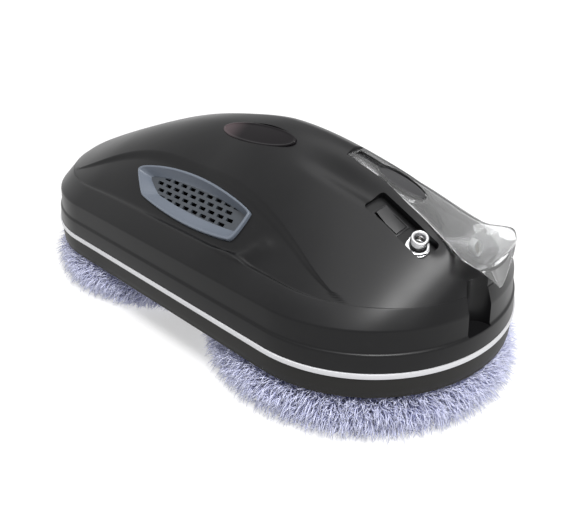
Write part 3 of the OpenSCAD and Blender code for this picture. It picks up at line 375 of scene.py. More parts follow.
def on_side(mesh, side):
    """mesh as it is for the left side, mirrored for the right one."""
    if side == "right":
        mesh.transform(Matrix.Scale(-1, 4, (0, 1, 0)))
        mesh.flip_normals()
    return mesh


def coords_of(mesh):
    """Coordinates of the mesh's points, one row each."""
    coords = np.empty(len(mesh.vertices) * 3)
    mesh.vertices.foreach_get("co", coords)
    return coords.reshape(-1, 3)


# ---- node helpers

def join(tree, target, sources):
    """Sets inputs of a node, by name or number, from a socket, a node's first output or a plain value."""
    for key, source in sources.items():
        if isinstance(source, bpy.types.Node):
            source = source.outputs[0]
        if isinstance(source, bpy.types.NodeSocket):
            tree.links.new(source, target.inputs[key])
        else:
            target.inputs[key].default_value = source


def node(tree, kind, sources=(), **settings):
    """New node with its settings and its inputs joined."""
    made = tree.nodes.new(kind)
    for key, value in settings.items():
        setattr(made, key, value)
    join(tree, made, dict(sources))
    return made


def maths(tree, operation, *values, **settings):
    return node(tree, "ShaderNodeMath", dict(enumerate(values)), operation=operation, **settings)


def noise(tree, place, scale, detail, **more):
    return node(tree, "ShaderNodeTexNoise", {"Vector": place, "Scale": scale, "Detail": detail, **more})


def spread(tree, value, *limits, **settings):
    """Map Range node for a value; the limits are from low, from high, to low and to high."""
    inputs = dict(zip(("Value", "From Min", "From Max", "To Min", "To Max"), (value, *limits)))
    return node(tree, "ShaderNodeMapRange", inputs, **settings)


def blend(tree, share, first, second):
    """Colour socket that goes from the first colour to the second one by a share."""
    made = node(tree, "ShaderNodeMix", {0: share}, data_type="RGBA")
    index = {socket.name: k for k, socket in enumerate(made.inputs) if socket.type == "RGBA"}
    join(tree, made, {index["A"]: first, index["B"]: second})
    return next(socket for socket in made.outputs if socket.type == "RGBA")


def object_place(tree):
    return node(tree, "ShaderNodeTexCoord").outputs["Object"]


GEOMETRY = {"Geometry": "Geometry"}
SURFACE = {"Base Color": "Color", "Roughness": "Float", "Height": "Float"}


def new_group(name, kind, inputs, outputs):
    """Node group, the outputs of its input node and its output node; inputs come by kind or by default."""
    tree = bpy.data.node_groups.new(name, kind)
    for label, given in inputs.items():
        kind = given if isinstance(given, str) else {int: "Int", float: "Float", tuple: "Color"}[type(given)]
        socket = tree.interface.new_socket(label, in_out="INPUT", socket_type="NodeSocket" + kind)
        if kind != given:
            socket.default_value = given
    for label, kind in outputs.items():
        tree.interface.new_socket(label, in_out="OUTPUT", socket_type="NodeSocket" + kind)
    return tree, node(tree, "NodeGroupInput").outputs, node(tree, "NodeGroupOutput")


def baked_instances(name, host_mesh, tree, values):
    """Runs a Geometry Nodes tree on host_mesh and returns its result as one plain mesh."""
    obj = new_object(name, host_mesh)
    modifier = obj.modifiers.new("repeat", "NODES")
    modifier.node_group = tree
    for item in tree.interface.items_tree:
        if item.in_out == "INPUT" and item.name in values:
            modifier[item.identifier] = values[item.name]
    return baked(obj)


def painted_copies(tree, copies, given, out):
    """Ends a tree: realizes its instances and gives them its material."""
    real = node(tree, "GeometryNodeRealizeInstances", {"Geometry": copies})
    painted = node(tree, "GeometryNodeSetMaterial", {"Geometry": real, "Material": given["Material"]})
    join(tree, out, {0: painted})
    return tree


# ---- places of the fittings

def on_skin(x, y, *turns):
    """Frame on the skin at a point, turned by degrees about X, Y and Z."""
    return placed((x, y, skin_z(x, y)), *turns)


TRAY = on_skin(HALF_LEN - 49.2, -20.5, 19.5, 23.2, -5.5)
TRAY_DEPTH, SWITCH_X, SOCKET_X = 4.0, -7.14, 12.6
BADGE = on_skin(15.5, -15.5, 35, -3.5, 1)
BADGE_LEN, BADGE_W, BADGE_DEPTH = 59, 15, 1.8
VENT_H, VENT_LEN, VENT_TILT, VENT_RISE = 31.0, 104.0, -0.08, -1.165
LOW_Z, HIGH_Z = [dome_z(VENT_X, VENT_Y + side * VENT_H / 2) for side in (1, -1)]
VENT_LEAN = degrees(atan2(HIGH_Z - LOW_Z, VENT_H)) + VENT_TILT
VENT = placed((VENT_X, -VENT_Y, (LOW_Z + HIGH_Z) / 2 + VENT_RISE), VENT_LEAN)
VENT_OUTLINE = [
    (-.31, -.34), (-.05, -.46), (.2, -.49), (.44, -.42), (.485, -.36), (.5, .18), (.485, .25), (.34, .37), (.14, .47),
    (-.06, .5), (-.28, .44), (-.46, .29), (-.5, .2), (-.495, .12), (-.35, -.28)]
VENT_DEPTH = 6.0
FLOOR_SHIFT = (2.4, 1.3)


def vent_plan(inset, shift=0.0):
    """The vent's rounded outline, set in, and moved by a share of the floor's shift."""
    sx, sy = 1 - 2 * inset / VENT_LEN, 1 - 2 * inset / VENT_H
    plan = chaikin([(x * VENT_LEN * sx, y * VENT_H * sy) for x, y in VENT_OUTLINE], 3)
    return [(x + FLOOR_SHIFT[0] * shift, y + FLOOR_SHIFT[1] * shift) for x, y in plan]


def tray_plan(grow):
    """The tray's outline, a box with round corners."""
    r, hx, hy = 2.6, 21.0, 6.5
    return [(sx * (hx - r) + (r + grow) * cos(a), sy * (hy - r) + (r + grow) * sin(a))
            for sx, sy, q in ((1, 1, 0), (-1, 1, 1), (-1, -1, 2), (1, -1, 3))
            for a in [pi / 2 * (q + k / 10) for k in range(11)]]


TANK_W = [
    (0, .3), (.13, .33), (.24, .355), (.35, .415), (.46, .48), (.57, .53), (.68, .6), (.79, .75), (.85, .91), (.9, 1),
    (.935, .91), (.96, .73), (.98, .5), (1, .11)]
TANK_EDGE = [
    (0, 1), (.13, .938), (.24, .871), (.35, .793), (.46, .711), (.57, .628), (.68, .538), (.79, .463), (.85, .452),
    (.9, .44), (.935, .4), (.96, .32), (.98, .22), (1, .04)]
TANK_X0, TANK_SPAN, TANK_Z, TANK_HALF, TANK_DEPTH, TANK_GAP, TANK_WALL = 76.0, 92.5, 116.8, 24, 22, 0.3, 1.6
TIP_T = 0.96  # share of the length at which the tip starts


def smooth_lookup(t, table):
    """Value from a table of shares on a smooth curve through its points, without overshoot."""
    k = max(i for i in range(len(table) - 1) if table[i][0] <= t or i == 0)
    (x0, y0), (x1, y1) = table[k], table[k + 1]
    before = table[k - 1] if k else (2 * x0 - x1, 2 * y0 - y1)
    after = table[k + 2] if k + 2 < len(table) else (2 * x1 - x0, 2 * y1 - y0)
    slope = (y1 - y0) / (x1 - x0)

    def tangent(a, b):
        return 0.0 if a * b <= 0 else 2 * a * b / (a + b)

    m0 = tangent((y0 - before[1]) / (x0 - before[0]), slope)
    m1 = tangent(slope, (after[1] - y1) / (after[0] - x1))
    h = x1 - x0
    s = clamp((t - x0) / h)
    return ((2 * s ** 3 - 3 * s ** 2 + 1) * y0 + (s ** 3 - 2 * s ** 2 + s) * h * m0
            + (3 * s ** 2 - 2 * s ** 3) * y1 + (s ** 3 - s ** 2) * h * m1)


def tank_ring(t, grow, lift, rounds):
    """The tank's section at share t of its length, grown on all sides, with its top lifted."""
    x = TANK_X0 + TANK_SPAN * t + (-grow if t == 0 else grow if t == 1 else 0)
    half = TANK_HALF * smooth_lookup(t, TANK_W)
    w = max(half + grow, 0.3)
    edge = mix(SHOULDER_END_Z, TANK_Z, smooth_lookup(t, TANK_EDGE))
    keel_floor = mix(SHOULDER_END_Z, TANK_Z, mix(0.21, 0, clamp((t - TIP_T) / (1 - TIP_T))))
    keel = min(edge - 1, max(edge - TANK_DEPTH, keel_floor)) - grow
    top = edge + grow
    drop = mix(5, 1, ease(0, TIP_T, t))
    low = min(max(top - drop - 2 * grow, keel + 0.15), top - 0.15)
    crown = 0.07 * half
    ring = [(x, -w, low), (x, -w * 0.3, keel), (x, w * 0.3, keel), (x, w, low)]
    ring += [(x, w * s, top + lift + crown * (1 - s * s)) for s in [1 - 2 * k / 10 for k in range(11)]]
    return chaikin(ring, rounds)


def tank_form(name, grow, lift=0.0, t0=0.0, t1=1.0, rounds=2):
    return ring_mesh(name, [tank_ring(t0 + (t1 - t0) * k / 72, grow, lift, rounds) for k in range(73)])


FILL = placed((TANK_X0 + TANK_SPAN * 0.325, 0, 104.942), 0, 16.5475, 0)
PLUG_LEN, PLUG_W, STRAP_REACH, STRAP_W, STRAP_T = 31.0, 12.5, 29.5, 4.4, 1.6


NOTCH_X, NOTCH_Y, NOTCH_R = 166, 12.5, 8.5


def notch(grow, name):
    """Upright cable notch: a round floor open to the front."""
    r = NOTCH_R + grow
    plan = [(r * cos(a), r * sin(a)) for a in [pi / 2 + pi * k / 40 for k in range(41)]]
    plan += [(60, -r), (60, r)]
    return prism(name, [(x + NOTCH_X, y - NOTCH_Y) for x, y in plan], LIP_Z - grow, 77)


# ---- materials

def moulded_group():
    """Moulded plastic: cloudy tone, fine grain, faint flow marks and dust."""
    tree, given, out = new_group("Moulded plastic", "ShaderNodeTree", {
        "Colour": (0.02, 0.02, 0.02, 1), "Worn colour": (0.1, 0.1, 0.1, 1), "Roughness": 0.4,
        "Grain size": 900.0, "Grain depth": 0.4, "Wear": 0.2}, SURFACE)
    place = object_place(tree)
    cloudy = spread(tree, noise(tree, place, 22.0, 4.0, Roughness=0.6), 0.3, 0.75, 0.0, 0.6)
    specks = spread(tree, noise(tree, place, 240.0, 5.0, Roughness=0.75), 0.58, 0.78, 0.0, 1.0)
    grain = noise(tree, place, given["Grain size"], 3.0, Roughness=0.6)
    share = maths(tree, "MULTIPLY", maths(tree, "ADD", specks, cloudy), given["Wear"], use_clamp=True)
    join(tree, out, {
        "Base Color": blend(tree, share, given["Colour"], given["Worn colour"]),
        "Roughness": maths(tree, "MULTIPLY_ADD", cloudy, 0.12, given["Roughness"], use_clamp=True),
        "Height": maths(tree, "MULTIPLY", grain, given["Grain depth"])})
    return tree


def metal_group():
    """Turned or plated metal: fine scratches along one way, smudges and tarnish."""
    tree, given, out = new_group("Plated metal", "ShaderNodeTree", {
        "Colour": (0.8, 0.8, 0.82, 1), "Tarnish colour": (0.3, 0.28, 0.25, 1), "Roughness": 0.2,
        "Tarnish": 0.2}, SURFACE)
    place = object_place(tree)
    stretched = node(tree, "ShaderNodeMapping", {"Vector": place, "Scale": (300.0, 300.0, 4000.0)})
    lines = noise(tree, stretched, 1.0, 3.0)
    smudge = spread(tree, noise(tree, place, 160.0, 4.0), 0.45, 0.8, 0.0, given["Tarnish"])
    join(tree, out, {
        "Base Color": blend(tree, smudge, given["Colour"], given["Tarnish colour"]),
        "Roughness": maths(tree, "MULTIPLY_ADD", lines, 0.14, given["Roughness"], use_clamp=True),
        "Height": lines})
    return tree


def new_material(name):
    """New material, its node tree and its shader node."""
    material = bpy.data.materials.new(name)
    material.use_nodes = True
    return material, material.node_tree, material.node_tree.nodes["Principled BSDF"]


def textured(name, group, values, bump, shader):
    """Material from a shared group, with plain values on the shader's own inputs."""
    material, tree, surface = new_material(name)
    effect = node(tree, "ShaderNodeGroup", values, node_tree=group)
    relief = node(tree, "ShaderNodeBump", {"Height": effect.outputs["Height"], "Strength": bump, "Distance": 0.0002})
    join(tree, surface, {key: effect.outputs[key] for key in ("Base Color", "Roughness")})
    join(tree, surface, {"Normal": relief, **shader})
    return material


def shade_along_x(material, start, end, colour):
    """Fades the material's colour in from a paler one, along the body."""
    tree = material.node_tree
    effect = next(made for made in tree.nodes if made.type == "GROUP")
    along = node(tree, "ShaderNodeSeparateXYZ", {0: object_place(tree)}).outputs["X"]
    share = spread(tree, along, start, end, 1.0, 0.0, interpolation_type="SMOOTHSTEP")
    own = effect.inputs["Colour"].default_value[:]
    join(tree, effect, {"Colour": blend(tree, share, own, rgb(colour))})


def rgb(colour):
    return (*colour[:3], 1.0)


MATERIALS = {}


# slot, colour, worn colour, roughness, wear, grain size, grain depth, bump, specular level, metallic
PLASTICS = [
    ("body_plastic", "body_colour", (0.02, 0.02, 0.021), 0.3, 0.2, 1400, 0.4, 0.06, 0.2, 0),
    ("casing_plastic", "casing_colour", (0.03, 0.029, 0.028), 0.45, 0.3, 1100, 0.5, 0.12, 0.12, 0),
    ("silver_strip", "strip_colour", (0.34, 0.34, 0.35), 0.3, 0.3, 1600, 0.3, 0.04, 0.5, 0.35),
    ("inner_plastic", (0.09, 0.09, 0.1), (0.2, 0.2, 0.2), 0.55, 0.3, 900, 0.4, 0.08, 0.5, 0),
    ("vent_plastic", "vent_colour", (0.15, 0.17, 0.2), 0.36, 0.35, 1300, 0.4, 0.06, 0.4, 0),
    ("grille_plastic", (0.034, 0.04, 0.048), (0.07, 0.08, 0.1), 0.42, 0.3, 1300, 0.4, 0.06, 0.5, 0),
    ("badge_gloss", (0.004, 0.003, 0.004), (0.02, 0.016, 0.02), 0.1, 0.2, 2000, 0.2, 0.02, 0.15, 0),
    ("switch_plastic", (0.01, 0.01, 0.011), (0.03, 0.03, 0.03), 0.34, 0.3, 1600, 0.4, 0.06, 0.2, 0),
    ("plug_rubber", (0.022, 0.022, 0.024), (0.06, 0.06, 0.06), 0.5, 0.3, 1800, 0.6, 0.1, 0.35, 0),
    ("white_plastic", (0.42, 0.43, 0.43), (0.34, 0.34, 0.33), 0.4, 0.3, 900, 0.4, 0.08, 0.5, 0),
    ("disc_plastic", (0.3, 0.31, 0.33), (0.42, 0.42, 0.43), 0.45, 0.3, 900, 0.4, 0.08, 0.5, 0),
    ("battery_wrap", (0.05, 0.12, 0.35), (0.15, 0.22, 0.4), 0.35, 0.2, 600, 0.3, 0.05, 0.5, 0),
    ("board_green", (0.02, 0.14, 0.06), (0.05, 0.22, 0.1), 0.4, 0.5, 500, 0.5, 0.08, 0.5, 0)]
# slot, colour, tarnish colour, roughness, tarnish
METALS = [
    ("socket_metal", (0.55, 0.55, 0.56), (0.3, 0.29, 0.28), 0.16, 0.3),
    ("contact_metal", (0.42, 0.4, 0.36), (0.25, 0.22, 0.18), 0.3, 0.3),
    ("steel", (0.6, 0.6, 0.62), (0.35, 0.33, 0.3), 0.28, 0.4)]


def make_materials(look):
    """One material for each slot of the record."""
    plastic, metal = moulded_group(), metal_group()
    for slot, colour, worn, rough, wear, grain, depth, bump, specular, metallic in PLASTICS:
        colour = getattr(look, colour) if isinstance(colour, str) else colour
        values = {"Colour": rgb(colour), "Worn colour": rgb(worn), "Roughness": rough, "Wear": wear,
                  "Grain size": grain, "Grain depth": depth}
        MATERIALS[slot] = textured(slot, plastic, values, bump, {"Specular IOR Level": specular, "Metallic": metallic})
    shade_along_x(MATERIALS["badge_gloss"], -0.013, 0.006, (0.075, 0.055, 0.06))
    for slot, colour, tarnish, rough, amount in METALS:
        values = {"Colour": rgb(colour), "Tarnish colour": rgb(tarnish), "Roughness": rough, "Tarnish": amount}
        MATERIALS[slot] = textured(slot, metal, values, 0.05, {"Metallic": 1})
    MATERIALS["clear_plastic"] = clear_material()
    MATERIALS["microfibre"] = fibre_material(look)


def clear_material():
    """Clear moulded shell with a light grey tint, faint flow marks and slightly soft reflections."""
    material, tree, surface = new_material("clear_plastic")
    waves = noise(tree, object_place(tree), 40.0, 2.0)
    join(tree, surface, {
        "Roughness": spread(tree, waves, 0.3, 0.8, 0.0, 0.015),
        "Normal": node(tree, "ShaderNodeBump", {"Height": waves, "Strength": 0.05, "Distance": 0.001}),
        "Base Color": (0.97, 0.975, 0.98, 1), "Transmission Weight": 0.97, "IOR": 1.49})
    return material


def fibre_material(look):
    """Microfibre pile: paler towards the tips, tufts of slightly different tone, soft sheen."""
    material, tree, surface = new_material("microfibre")
    tufts = noise(tree, object_place(tree), 130.0, 4.0)
    ramp = node(tree, "ShaderNodeValToRGB", {"Fac": tufts})
    for stop, position, shade in zip(ramp.color_ramp.elements, (0.3, 0.7), (0.72, 1)):
        stop.position, stop.color = position, rgb([part * shade for part in look.pile_colour])
    # painted light and shade: each strand goes from the darker pile colour at its root to a paler tip colour
    along = node(tree, "ShaderNodeAttribute", attribute_name="along").outputs["Fac"]
    join(tree, surface, {
        "Base Color": blend(tree, along, ramp, (0.79, 0.81, 0.98, 1)),
        "Roughness": spread(tree, tufts, 0.0, 1.0, 0.7, 0.95), "Sheen Weight": 0.35, "Sheen Roughness": 0.5})
    return material


# ---- pieces

def make_housing(look):
    """Smooth domed housing with its tray pocket, tank well, vent pockets, badge seat and cable notch."""
    lower = level_rings([
        (STRIP_PROUD, STRIP_TOP), (LIP_INSET, LIP_Z), (LIP_INSET + LEDGE, LIP_Z + LEDGE / 2), (BAND_INSET, BAND_Z)])
    rings = rounded_stack(lower + dome_rings(0, 30, 34), {1, 2, 3, 4}, look.edge_radius)
    outer = ring_mesh("housing_shell", rings, ends=(True, False), merge=0.01)
    coarse = (14, 8)
    inner = LIP_INSET + WALL
    room = level_rings([(inner, STRIP_TOP - 1), (inner, LIP_Z), (BAND_INSET + WALL, BAND_Z - WALL / 2)], *coarse)
    room += dome_rings(WALL * 1.3, 10, 10, *coarse)[2:]
    room = boolean(
        ring_mesh("housing_room", room, ends=(True, False), merge=0.01), "DIFFERENCE", notch(WALL, "notch_wall"),
        prism("tray_wall", tray_plan(WALL), -TRAY_DEPTH - WALL, 12, TRAY),
        tank_form("tank_wall", TANK_GAP + WALL, rounds=1))
    cuts = [room, notch(0, "notch"), tank_form("tank_well", TANK_GAP, 20),
            prism("tray", tray_plan(0), -TRAY_DEPTH, 12, TRAY),
            prism("switch_hole", box_plan(SWITCH_X - 8.6, SWITCH_X + 8.6, -4.2, 4.2), -9.5, 0, TRAY),
            prism("socket_hole", disc_plan(4.55, 64, SOCKET_X), -14, 2, TRAY),
            prism("badge_seat", oval(BADGE_LEN, BADGE_W), -BADGE_DEPTH, 5, BADGE)]
    cuts += [on_side(prism("vent_pocket", vent_plan(-0.35), -VENT_DEPTH - 0.3, 14, VENT), side) for side in SIDES]
    dress("housing_shell", boolean(outer, "DIFFERENCE", *cuts), "chassis", "body_plastic", ["upper_housing"], 42)


def make_casing_band(look):
    """Smooth skin round the lower casing, with a rounded lower edge."""
    rings = level_rings([
        (0.76, 36.97), (0.74, 30), (0.78, 27.2), (1.1, 26.1), (1.9, 25.5), (2.9, 25.42), (3.2, 25.8), (3.2, 36.97)])
    dress("casing_band", ring_mesh("casing_band", rings, wrap=True), "chassis", "casing_plastic", (), 40)


def make_strip(look):
    """Light trim strip with softly rounded edges."""
    inner = LIP_INSET + WALL
    rings = level_rings([
        (0.45, STRIP_Z), (0.14, 37.15), (0, 37.6), (0, 39.4), (0.14, 39.85), (0.45, STRIP_TOP), (inner, STRIP_TOP),
        (inner, STRIP_Z)])
    dress("trim_band", ring_mesh("trim_band", rings, wrap=True), "chassis", "silver_strip", ["trim_strip"], 40)


def slot_tree():
    """Geometry Nodes: a slot cutter on each point, with every other row half a pitch on."""
    tree, given, out = new_group("Slot rows", "GeometryNodeTree", {
        **GEOMETRY, "Cutter": "Object", "Columns": 9, "Rows": 4, "Pitch": 0.008, "Row pitch": 0.0041,
        "Material": "Material"}, GEOMETRY)
    width, height = [maths(tree, "MULTIPLY", maths(tree, "ADD", given[count], -1.0), given[pitch])
                     for count, pitch in (("Columns", "Pitch"), ("Rows", "Row pitch"))]
    grid = node(tree, "GeometryNodeMeshGrid", {
        "Size X": width, "Size Y": height, "Vertices X": given["Columns"], "Vertices Y": given["Rows"]})
    row = maths(tree, "MODULO", node(tree, "GeometryNodeInputIndex"), given["Rows"])
    half = maths(tree, "MULTIPLY", maths(tree, "MODULO", row, 2.0), given["Pitch"])
    offset = node(tree, "ShaderNodeCombineXYZ", {"X": maths(tree, "MULTIPLY", half, 0.5)})
    moved = node(tree, "GeometryNodeSetPosition", {"Geometry": grid, "Offset": offset})
    source = node(tree, "GeometryNodeObjectInfo", {"Object": given["Cutter"]})
    copies = node(tree, "GeometryNodeInstanceOnPoints", {"Points": moved, "Instance": source.outputs["Geometry"]})
    return painted_copies(tree, copies, given, out)


def make_vents(look):
    """Vent frames with sloping walls and a bright rim, and slotted grilles behind them."""
    sections = [  # (inset, height, share of the floor's shift)
        (0.0, -VENT_DEPTH, 0), (0.0, 0.4, 0), (0.2, 0.85, 0), (0.6, 1.0, 0), (1.2, 1.0, 0), (1.6, 0.8, 0),
        (1.9, 0.3, 0.05), (2.3, -0.2, 0.1), (4.8, -2.6, 0.6), (6.6, -4.2, 0.95), (7.2, -4.6, 1), (7.2, -VENT_DEPTH, 1)]
    rings = [[(x, y, z) for x, y in vent_plan(inset, shift)] for inset, z, shift in sections]
    cutter = new_object("slot_cutter", bevelled(prism("slot_cutter", box_plan(-2.6, 2.6, -1.05, 1.05), -3, 3), 0.4))
    slots = baked_instances("slots", bpy.data.meshes.new("slots"), slot_tree(), {
        "Cutter": cutter, "Columns": look.slot_columns, "Rows": 4, "Pitch": 0.008, "Row pitch": 0.0041,
        "Material": MATERIALS["grille_plastic"]})
    bpy.data.objects.remove(cutter)
    slots.transform(Matrix.Translation(Vector((0.6, 1.3, -VENT_DEPTH + 0.7)) * MM))
    plate = boolean(prism("grille", vent_plan(6.8, 1), -VENT_DEPTH, -VENT_DEPTH + 1.4), "DIFFERENCE", slots)
    for side in SIDES:
        surround = ring_mesh("vent_surround_" + side, rings, wrap=True)
        screen = plate.copy()
        for mesh in (surround, screen):
            mesh.transform(VENT)
            on_side(mesh, side)
        dress("vent_surround_" + side, surround, "chassis", "vent_plastic", ["vent_frame_" + side], 50)
        dress("vent_screen_" + side, screen, "chassis", "grille_plastic", ["vent_grille_" + side])


def make_badge(look):
    """Bare oval plate, dark and glossy, with a thin rounded rim."""
    mesh = crowned_oval("badge_face", BADGE_LEN - 0.3, BADGE_W - 0.3, [
        (0, -BADGE_DEPTH), (0, -0.75), (0.2, -0.5), (0.6, -0.4), (1.1, -0.45), (1.35, -0.62), (1.8, -0.66)], 0.2)
    mesh.transform(BADGE)
    dress("badge_face", mesh, "chassis", "badge_gloss", ["badge_plate"], 40)


def make_controls(look):
    """Rocker switch in its frame, and the threaded socket with its nut."""
    for name, cad, width, body in (
            ("switch_surround", "switch_frame", 0.25, "chassis"), ("rocker", "rocker_switch", 0.35, "rocker")):
        dress(name, bevelled(cad_copy(cad), width), body, "switch_plastic", [cad], 40)
    at_socket = TRAY @ Matrix.Translation(Vector((SOCKET_X, 0, -TRAY_DEPTH)) * MM)
    profile = [(2.21, -5.2), (2.21, 1.7), (2.6, 2.0), (2.6, 7.2), (3.0, 7.75), (3.4, 8.0), (3.9, 8.0), (4.15, 7.8)]
    crest, root, pitch, z = 4.4, 4.12, 0.68, 7.5
    while z > 2.7:
        profile += [(crest, z), (crest, z - 0.12), (root, z - 0.36), (root, z - 0.44)]
        z -= pitch
    profile += [(4.35, 2.4), (4.4, -7.8), (3.0, -7.8)]
    collar = lathe("socket_collar", profile[::-1], 96, at_socket)
    dress("socket_collar", collar, "chassis", "socket_metal", ["power_socket"], 50)
    dress("collar_nut", bevelled(cad_copy("socket_nut"), 0.22), "chassis", "socket_metal", ["socket_nut"], 35)


def plug_channel(grow):
    x0, half = -STRAP_REACH - grow - STRAP_T / 2, STRAP_W / 2 + grow
    return box_plan(x0, 0, -half, half)


def pocket_plan(grow):
    return oval(PLUG_LEN + 2 * grow, PLUG_W + 2 * grow)


def make_tank(look):
    """Clear tank: a thin smooth shell with the plug's pocket and the filling hole."""
    top = 22
    wall = boolean(prism("pocket", pocket_plan(TANK_WALL), -TANK_WALL, top, FILL), "UNION",
                   prism("pocket_strap", plug_channel(TANK_WALL), -TANK_WALL, top, FILL))
    mesh = boolean(tank_form("tank_outer", 0), "DIFFERENCE", tank_form("tank_hollow", -TANK_WALL, 0, 0.03, 0.95))
    mesh = boolean(mesh, "UNION", boolean(tank_form("tank_block", 0), "INTERSECT", wall))
    mesh = boolean(mesh, "DIFFERENCE", prism("pocket_room", pocket_plan(TANK_GAP), 0, top, FILL),
                   prism("strap_room", plug_channel(TANK_GAP), 0, top, FILL),
                   prism("fill_hole", disc_plan(4.6), -11, 11, FILL))
    dress("tank_shell", mesh, "chassis", "clear_plastic", ["water_tank"], 34)


def make_plug(look):
    """Rubber plug: crowned oval cap on its strap."""
    cap = crowned_oval("plug_cap", PLUG_LEN, PLUG_W, [
        (0.5, 0), (0.1, 0.25), (0, 0.8), (0.05, 1.5), (0.3, 2.0), (0.9, 2.4), (1.7, 2.7), (2.6, 2.85)], 0.15)
    strap_plan = box_plan(-STRAP_REACH - STRAP_T / 2, -8, -STRAP_W / 2, STRAP_W / 2)
    strap = bevelled(prism("strap", strap_plan, 0, STRAP_T), 0.5)
    stem = lathe("stem", [(0, -3.5), (3.9, -3.5), (4.3, -3.1), (4.3, 1.0), (0, 1.0)], 64)
    mesh = boolean(cap, "UNION", strap, stem)
    mesh.transform(FILL @ Matrix.Translation((0, 0, TANK_GAP * MM)))
    dress("plug_cap", mesh, "plug", "plug_rubber", ["tank_plug"], 40)


def strand_object(name, seed):
    """One tapered, curled strand of unit length along Z, with how far along it each point lies."""
    rng = np.random.default_rng(seed)
    bend, sway, radius = rng.uniform(0.15, 0.5), rng.uniform(-0.2, 0.2), 0.032
    sides = steps = 3
    points, faces = [], []
    for k in range(steps):
        t = k / steps
        r = radius * (1 - 0.45 * t)
        cx, cy = bend * t * t, sway * sin(pi * t)
        for s in range(sides):
            a = 2 * pi * s / sides + t
            points.append((cx + r * cos(a), cy + r * sin(a), t))
    points.append((bend, 0, 1))
    pairs = [(s, (s + 1) % sides) for s in range(sides)]
    for k in range(0, (steps - 1) * sides, sides):
        faces += [(k + a, k + b, k + b + sides, k + a + sides) for a, b in pairs]
    last = (steps - 1) * sides
    faces += [(last + a, last + b, len(points) - 1) for a, b in pairs]
    mesh = bpy.data.meshes.new(name)
    mesh.from_pydata(points, [], faces)
    mesh.attributes.new("along", "FLOAT", "POINT").data.foreach_set("value", [z for x, y, z in points])
    return new_object(name, mesh)


def pile_tree():
    """Geometry Nodes: strands over a surface, leaning out and down, clumped by noise."""
    tree, given, out = new_group("Long pile", "GeometryNodeTree", {
        **GEOMETRY, "Strand A": "Object", "Strand B": "Object", "Strand C": "Object", "Density": 1000.0,
        "Seed": 1, "Clump size": 90.0, "Clump strength": 0.8, "Material": "Material"}, GEOMETRY)

    def chance(k, low, high):
        """Random vector (k = 0), number (k = 1) or whole number (k = 2)."""
        kind = ("FLOAT_VECTOR", "FLOAT", "INT")[k]
        return node(tree, "FunctionNodeRandomValue", {2 * k: low, 2 * k + 1: high}, data_type=kind).outputs[k]

    def vectors(operation, sources):
        return node(tree, "ShaderNodeVectorMath", sources, operation=operation)

    scatter = node(tree, "GeometryNodeDistributePointsOnFaces", {
        "Mesh": given["Geometry"], "Density": given["Density"], "Seed": given["Seed"]})
    waves = noise(tree, node(tree, "GeometryNodeInputPosition"), given["Clump size"], 2.0)
    centred = vectors("SUBTRACT", {0: waves.outputs["Color"], 1: (0.5, 0.5, 0.5)})
    clump = vectors("SCALE", {0: centred, "Scale": given["Clump strength"]})
    way = vectors("ADD", {0: scatter.outputs["Normal"], 1: clump})
    way = vectors("ADD", {0: way, 1: chance(0, (-0.35, -0.35, -0.35), (0.35, 0.35, 0.35))})
    way = vectors("ADD", {0: way, 1: (0.0, 0.0, -0.28)})
    aim = node(tree, "FunctionNodeAlignRotationToVector", {"Vector": way}, axis="Z")
    roll = node(tree, "FunctionNodeAxisAngleToRotation", {"Axis": (0.0, 0.0, 1.0), "Angle": chance(1, 0.0, 6.283)})
    turn = node(tree, "FunctionNodeRotateRotation", {0: aim, 1: roll}, rotation_space="LOCAL")
    length = node(tree, "GeometryNodeInputNamedAttribute", {"Name": "pile"}, data_type="FLOAT")
    merged = node(tree, "GeometryNodeGeometryToInstance")
    for label in ("Strand C", "Strand B", "Strand A"):
        source = node(tree, "GeometryNodeObjectInfo", {"Object": given[label], "As Instance": True})
        join(tree, merged, {0: source.outputs["Geometry"]})
    copies = node(tree, "GeometryNodeInstanceOnPoints", {
        "Points": scatter, "Instance": merged, "Pick Instance": True, "Instance Index": chance(2, 0, 2),
        "Rotation": turn, "Scale": maths(tree, "MULTIPLY", length, chance(1, 0.65, 1.15))})
    return painted_copies(tree, copies, given, out)


PAD_PROFILE = [
    (34.5, 11.6), (34.5, 5), (36.5, 3.4), (50, 3.0), (66, 3.0), (74, 3.6), (78.2, 6.4), (80.2, 11), (79.6, 17),
    (76.6, 21), (71, 23.2), (67.1, 23.2), (67.1, 19.4), (74.4, 19.4), (74.4, 11.6)]
# rings that strands grow from, as (radius, height, length of the strands there)
PILE_RINGS = [
    (40, 3.0, 4), (50, 2.9, 4.5), (62, 2.9, 6), (70, 3.0, 9), (75.5, 4.2, 12), (78.4, 6.4, 14.5), (80.4, 11, 15),
    (79.8, 16.5, 13), (77.4, 20.4, 10), (74, 22.4, 7)]
PAD_EDGE, PILE_REACH = 0.074, 0.0965
GLASS_GAP, CASING_GAP = 0.0003, 0.0252
CASING_X, CASING_Y = 0.167, 0.0845


def lumpy(coords):
    """Makes the pad's rim slightly uneven."""
    x, y, z = coords.T
    angle, rim = np.arctan2(y, x), np.hypot(x, y) > PAD_EDGE
    lump = 1 + 0.006 * np.sin(17 * angle + 1.3) * rim + 0.004 * np.sin(41 * angle) * rim
    coords[:, :2] *= lump[:, None]


def held_back(coords, centre):
    """Keeps strands above the glass, under the casing and within their reach from the disc's centre."""
    rng = np.random.default_rng(5)
    x, y, z = coords.T
    z[:] = np.maximum(z, GLASS_GAP + 0.0012 * rng.random(len(z)))
    ceiling = CASING_GAP - 0.0006 * rng.random(len(z))
    under = (np.abs(x) < CASING_X) & (np.abs(y) < CASING_Y) & (z > ceiling)
    z[under] = ceiling[under]
    reach = np.hypot(x - centre, y)
    far = reach > PILE_REACH
    x[far] = centre + (x[far] - centre) * PILE_REACH / reach[far]
    y[far] *= PILE_REACH / reach[far]


